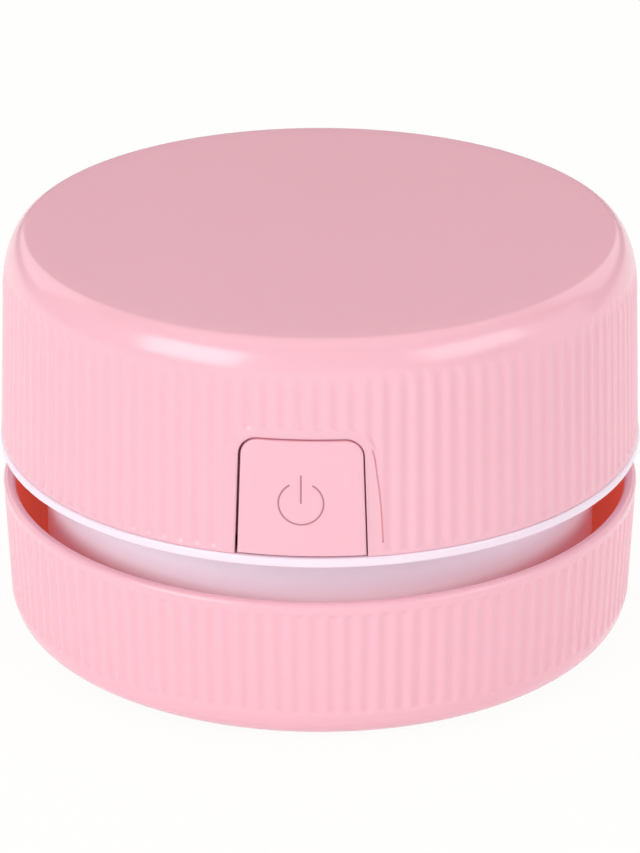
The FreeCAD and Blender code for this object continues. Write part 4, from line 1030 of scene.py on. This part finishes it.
screw = {
    "headRadius": 1.8 * mm,
    "headHeight": 1.2 * mm,
    "headRound": 0.5 * mm,
    "shankRadius": 0.98 * mm,
    "pitch": 0.8 * mm,
    "threadDepth": 0.16 * mm,
    "threadRoot": 0.3,         # where each turn's root and crest lie, as shares of the pitch
    "threadCrest": 0.65,
    "recessWidth": 0.5 * mm,
    "recessReach": 1.15 * mm,
    "recessDepth": 0.55 * mm,
    "turnStep": 0.7,           # each screw is turned by this much more than the last, in radians
    "columns": 24,
    "smoothAngle": 35,
}

# circle and angles of each set, and the body that it rides on
screwSets = {
    "binScrews": ("bin_screws", 28.0 * mm, (0, 120, 240), "base"),
    "shroudScrews": ("shroud_screws", 34.0 * mm, (0, 120, 240), "housing"),
    "capScrews": ("cap_screws", 34.2 * mm, (20, 160, 222, 318), "housing"),
}


def screwMesh(name, length):
    # head's bearing face at the origin, shank up, drive recess facing down
    s = screw
    root, columns = s["shankRadius"] - s["threadDepth"], s["columns"]
    section = quarter((s["headRadius"] - s["headRound"], -s["headHeight"] + s["headRound"]), s["headRound"],
                      s["headRound"], -90, 5)
    section += [(s["headRadius"], 0.0), (s["shankRadius"], 0.0)]
    for k in range(int(length / s["pitch"])):
        section += [(root, (k + s["threadRoot"]) * s["pitch"]),
                    (s["shankRadius"], (k + s["threadCrest"]) * s["pitch"]), (root, (k + 1) * s["pitch"])]
    verts = [(0.0, 0.0, -s["headHeight"])]
    verts += [(x, y, z) for r, z in section for x, y in circle(r, columns)]
    verts.append((0.0, 0.0, length))
    last = len(verts) - 1 - columns
    faces = [tuple(1 + v for v in face) for face in bandFaces(len(section), columns)]
    for j in range(columns):
        after = (j + 1) % columns
        faces += [(0, 1 + after, 1 + j), (last + j, last + after, len(verts) - 1)]
    thing = recalculated(newObject(name, meshOf(name, verts, faces)))
    w, r = s["recessWidth"] / 2, s["recessReach"]
    cross = [(w, w), (w, r), (-w, r), (-w, w), (-r, w), (-r, -w), (-w, -w), (-w, -r), (w, -r), (w, -w),
             (r, -w), (r, w)]
    top = -s["headHeight"]
    return cutAway(thing, [uprightPrism(cross, top - cutOver, top + s["recessDepth"])])


def scatterTree():
    tree, given = newTree("screwsOnPoints", {"Places": "Geometry", "Screw": "Object", "Turn Step": "Float",
                                             "Material": "Material"}, "Screws")
    source = addNode(tree, "GeometryNodeObjectInfo", {"Object": given["Screw"]}, transform_space="ORIGINAL")
    index = addNode(tree, "GeometryNodeInputIndex")
    turn = addNode(tree, maths, {0: index, 1: given["Turn Step"]}, operation="MULTIPLY")
    angles = addNode(tree, "ShaderNodeCombineXYZ", {2: turn})
    rotation = addNode(tree, "FunctionNodeEulerToRotation", {0: angles})
    points = addNode(tree, "GeometryNodeInstanceOnPoints", {
        "Points": given["Places"], "Instance": source.outputs["Geometry"], "Rotation": rotation})
    return finishTree(tree, points, given["Material"])


screwTree = scatterTree()


def screwSet(name, node, radius, angles, body):
    # as many screws as the node has, all with their heads down
    low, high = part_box(node)
    bearing = low.z + screw["headHeight"]
    model = screwMesh(name + "Model", high.z - bearing)
    turns = [math.radians(angle) for angle in angles]
    spots = [(radius * math.cos(turn), radius * math.sin(turn), bearing) for turn in turns]
    things = grown(name, meshOf(name + "Spots", spots, []), screwTree, {
        "Screw": model, "Turn Step": screw["turnStep"], "Material": finish["zincSteel"]})
    bpy.data.objects.remove(model)
    smoothByAngle(things, screw["smoothAngle"])
    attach(things, body)
    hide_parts(node)


for name, values in screwSets.items():
    screwSet(name, *values)
print("screws done")


# Button: a curved tile with rounded edges, its retaining flange and stem

def closedButtonLoop(grow):
    foot = button["foot"] - grow
    outline = buttonOutline(grow, foot)
    return outline + [(x, foot) for x in spread(-outline[0][0], outline[0][0], button["footSteps"])[1:-1]]


def tileRings():
    edge = button["edgeRound"]
    loops = [(closedButtonLoop(0.0), button["wall"])]
    loops += [(closedButtonLoop(-edge * (1 - math.cos(turn))), edge * (1 - math.sin(turn)))
              for turn in spread(0.0, math.pi / 2, 5)]
    inset = loops[-1][0]
    middle = (button["foot"] + button["top"]) / 2
    for share in button["faceRings"]:
        loops.append(([(x * share, middle + (z - middle) * share) for x, z in inset], 0.0))
    rings = []
    for loop, sink in loops:
        faces = [onFace(x, z, capRadius(z) - sink) for x, z in loop]
        rings.append([(x + button["aside"], y, z) for x, y, z in faces])
    return rings


def curvedSlab(name, left, right, low, high, outer, inner):
    rings = [[onFace(x, low, outer), onFace(x, low, inner), onFace(x, high, inner), onFace(x, high, outer)]
             for x in spread(left, right, button["slabSteps"])]
    return ringSolid(name, rings, "blushAbs")


stemZ = cap["foot"] + button["stemRise"]
buttonTile = ringSolid("buttonTile", tileRings(), "blushAbs")
joined(buttonTile, [
    curvedSlab("flange", buttonLow.x, buttonHigh.x, button["foot"] + button["flangeFoot"],
               button["top"] + button["flangeTop"], button["flangeOuter"], button["flangeInner"]),
    curvedSlab("link", -button["linkHalf"], button["linkHalf"], button["foot"] + button["linkFoot"],
               button["top"] - button["linkTop"], button["linkOuter"], button["linkInner"]),
    levelPrism(circle(button["stemRadius"], button["stemSides"], 0.0, stemZ), -button["stemFront"],
               buttonHigh.y, "blushAbs")])
smoothByAngle(buttonTile, shell["smoothAngle"])
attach(buttonTile, "button")
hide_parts("power_button")

print("button done")


# Coil spring round the stem: it stays with the housing

springLow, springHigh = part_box("button_spring")

spring = {
    "turns": 4,
    "sections": 24,            # of the wire, in one turn
    "wireRadius": 0.2 * mm,
    "wireSides": 12,
    "pressedShare": 0.64,      # of its length, with the button in
    "smoothAngle": 40,
}


def wireTree():
    tree, given = newTree("roundWire", {"Path": "Geometry", "Wire Radius": "Float",
                                        "Material": "Material"}, "Wire")
    profile = addNode(tree, "GeometryNodeCurvePrimitiveCircle", {"Resolution": spring["wireSides"],
                                                                 "Radius": given["Wire Radius"]})
    path = addNode(tree, "GeometryNodeMeshToCurve", {"Mesh": given["Path"]})
    wire = addNode(tree, "GeometryNodeCurveToMesh", {"Curve": path, "Profile Curve": profile,
                                                     "Fill Caps": True})
    return finishTree(tree, wire, given["Material"])


def coilPath():
    middle = (springLow + springHigh) / 2
    wire = spring["wireRadius"]
    radius = (springHigh.x - springLow.x) / 2 - wire
    steps = spring["turns"] * spring["sections"]
    verts = []
    for i, y in enumerate(spread(springLow.y + wire, springHigh.y - wire, steps)):
        turn = 2 * math.pi * i / spring["sections"]
        verts.append((middle.x + radius * math.cos(turn), y, middle.z + radius * math.sin(turn)))
    mesh = bpy.data.meshes.new("coilPath")
    mesh.from_pydata(verts, [(i, i + 1) for i in range(steps)], [])
    return mesh


coilSpring = recalculated(grown("coilSpring", coilPath(), wireTree(), {
    "Wire Radius": spring["wireRadius"], "Material": finish["springSteel"]}))
smoothByAngle(coilSpring, spring["smoothAngle"])
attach(coilSpring, "housing")
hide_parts("button_spring")
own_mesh(coilSpring)
print("button spring:", len(coilSpring.data.polygons), "faces")


# Power symbol on the button

symbol = {
    "radius": 2.9 * mm,
    "stroke": 0.23 * mm,
    "opening": math.radians(30),
    "bar": 3.9 * mm,
    "rise": 7.6 * mm,
    "proud": 0.012 * mm,
    "sunk": 0.05 * mm,
    "arcSteps": 60,
    "barSteps": 8,
}
symbolZ = cap["foot"] + symbol["rise"]

arcRun = [(symbol["radius"] * math.sin(angle), symbolZ + symbol["radius"] * math.cos(angle))
          for angle in spread(symbol["opening"], 2 * math.pi - symbol["opening"], symbol["arcSteps"])]
barRun = [(0.0, z) for z in spread(symbolZ, symbolZ + symbol["bar"], symbol["barSteps"])]
powerMark, powerBar = [faceStrip(name, run, symbol["stroke"] / 2, symbol["proud"], symbol["sunk"], "laserMark")
                       for name, run in (("powerMark", arcRun), ("powerBar", barRun))]
joined(powerMark, [powerBar])
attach(powerMark, "button")
print("power symbol done")


# Floor, backdrop and light

stage = {
    "floorSize": 3.0,
    "floorWhite": "#FFFFFE",
    "paper": ("#FBFBFA", "#FFFFFE"),
    "paperFibreMm": 2.0,
    "shadowShare": 0.05,       # how much of the floor's look is lit, so that a faint shadow stays
    "roomColour": "#FFFEFE",
    "roomStrength": 0.21,
    "backdrop": "#FFFFFD",
    "lookAt": (0.0, 0.0, 26.4 * mm),
    "distance": 527.5 * mm,
    "elevation": 23.87,
    "azimuth": 3.2,
    "focalLength": 160.3,
    "sensor": 36.0,
    "shiftUp": 0.00305,
    "lightHeight": 30.0 * mm,
}

# azimuth from the camera's and elevation in degrees, distance, width and height in metres, watts, colour
lights = {
    "keyLeft": (-47, 24, 1.1, 0.71, 0.5, 6.35, "#FDFFFE"),
    "keyRight": (57, 25, 1.1, 0.75, 0.42, 3.5, "#FFFFFF"),
    "frontLow": (0, 4, 1.2, 1.4, 0.16, 0.9, "#FCFEFF"),
    "overhead": (177, 84.7, 1.075, 1.3, 1.3, 4.6, "#FFF5F0"),
    "sideRight": (90, 8, 1.1, 0.7, 0.6, 1.2, "#FFFFFF"),
    "rearRight": (140, 28, 1.2, 0.9, 0.7, 2.2, "#FFFFFF"),
    "rearLeft": (-140, 28, 1.2, 0.9, 0.7, 2.2, "#FFFFFF"),
}


# Paper sweep: near white, and lit only so far that the piece's shadow shows on it
def floorMaterial():
    material, tree = newMaterial("whitePaperSweep")
    place = addNode(tree, "ShaderNodeTexCoord").outputs["Object"]
    fibre = addNode(tree, "ShaderNodeTexNoise", {"Vector": place, "Scale": speckSize(stage["paperFibreMm"]),
                                                 "Detail": 2.0})
    tint = addNode(tree, "ShaderNodeMix", {0: fibre, 6: linearColour(stage["paper"][0]),
                                           7: linearColour(stage["paper"][1])}, data_type="RGBA")
    lit = addNode(tree, "ShaderNodeBsdfDiffuse", {"Color": tint.outputs[2]})
    white = addNode(tree, "ShaderNodeEmission", {"Color": linearColour(stage["floorWhite"]), "Strength": 1.0})
    path = addNode(tree, "ShaderNodeLightPath").outputs
    seen = path["Is Camera Ray"]
    for ray in ("Is Glossy Ray", "Is Transmission Ray"):
        seen = addNode(tree, maths, {0: seen, 1: path[ray]}, operation="MAXIMUM")
    share = addNode(tree, maths, {0: seen, 1: 1.0 - stage["shadowShare"]}, operation="MULTIPLY")
    mixed = addNode(tree, "ShaderNodeMixShader", {0: share, 1: lit, 2: white})
    addNode(tree, "ShaderNodeOutputMaterial", {"Surface": mixed})
    return material


def studioWorld():
    world = bpy.data.worlds.new("studio")
    world.use_nodes = True
    tree = world.node_tree
    tree.nodes.clear()
    camera = addNode(tree, "ShaderNodeLightPath").outputs["Is Camera Ray"]
    room = addNode(tree, "ShaderNodeBackground", {"Color": linearColour(stage["roomColour"]),
                                                  "Strength": stage["roomStrength"]})
    backdrop = addNode(tree, "ShaderNodeBackground", {"Color": linearColour(stage["backdrop"]),
                                                      "Strength": 1.0})
    choice = addNode(tree, "ShaderNodeMixShader", {0: camera, 1: room, 2: backdrop})
    addNode(tree, "ShaderNodeOutputWorld", {"Surface": choice})
    return world


def aimedAt(name, data, target, azimuth, elevation, distance):
    # a light or camera that looks at the target from the given side, in degrees
    turn, rise = math.radians(azimuth), math.radians(elevation)
    outward = Vector((math.sin(turn) * math.cos(rise), -math.cos(turn) * math.cos(rise), math.sin(rise)))
    thing = newObject(name, data)
    thing.location = Vector(target) + outward * distance
    thing.rotation_euler = (-outward).to_track_quat("-Z", "Y").to_euler()
    return thing


bpy.ops.mesh.primitive_plane_add(size=stage["floorSize"], location=(0, 0, 0))
floor = bpy.context.object
floor.name = "floor"
floor.data.materials.append(floorMaterial())
bpy.context.scene.world = studioWorld()

for name, (azimuth, elevation, distance, width, height, watts, colour) in lights.items():
    lamp = bpy.data.lights.new(name, "AREA")
    lamp.shape = "RECTANGLE"
    lamp.size = width
    lamp.size_y = height
    lamp.energy = watts
    lamp.color = linearColour(colour)[:3]
    aimedAt(name, lamp, (0, 0, stage["lightHeight"]), stage["azimuth"] + azimuth, elevation, distance)

lens = bpy.data.cameras.new("camera")
lens.lens = stage["focalLength"]
lens.sensor_fit = "AUTO"
lens.sensor_width = stage["sensor"]
lens.shift_y = stage["shiftUp"]
bpy.context.scene.camera = aimedAt("camera", lens, stage["lookAt"], stage["azimuth"], stage["elevation"],
                                   stage["distance"])
bpy.context.scene.view_settings.view_transform = "Standard"
print("stage set")
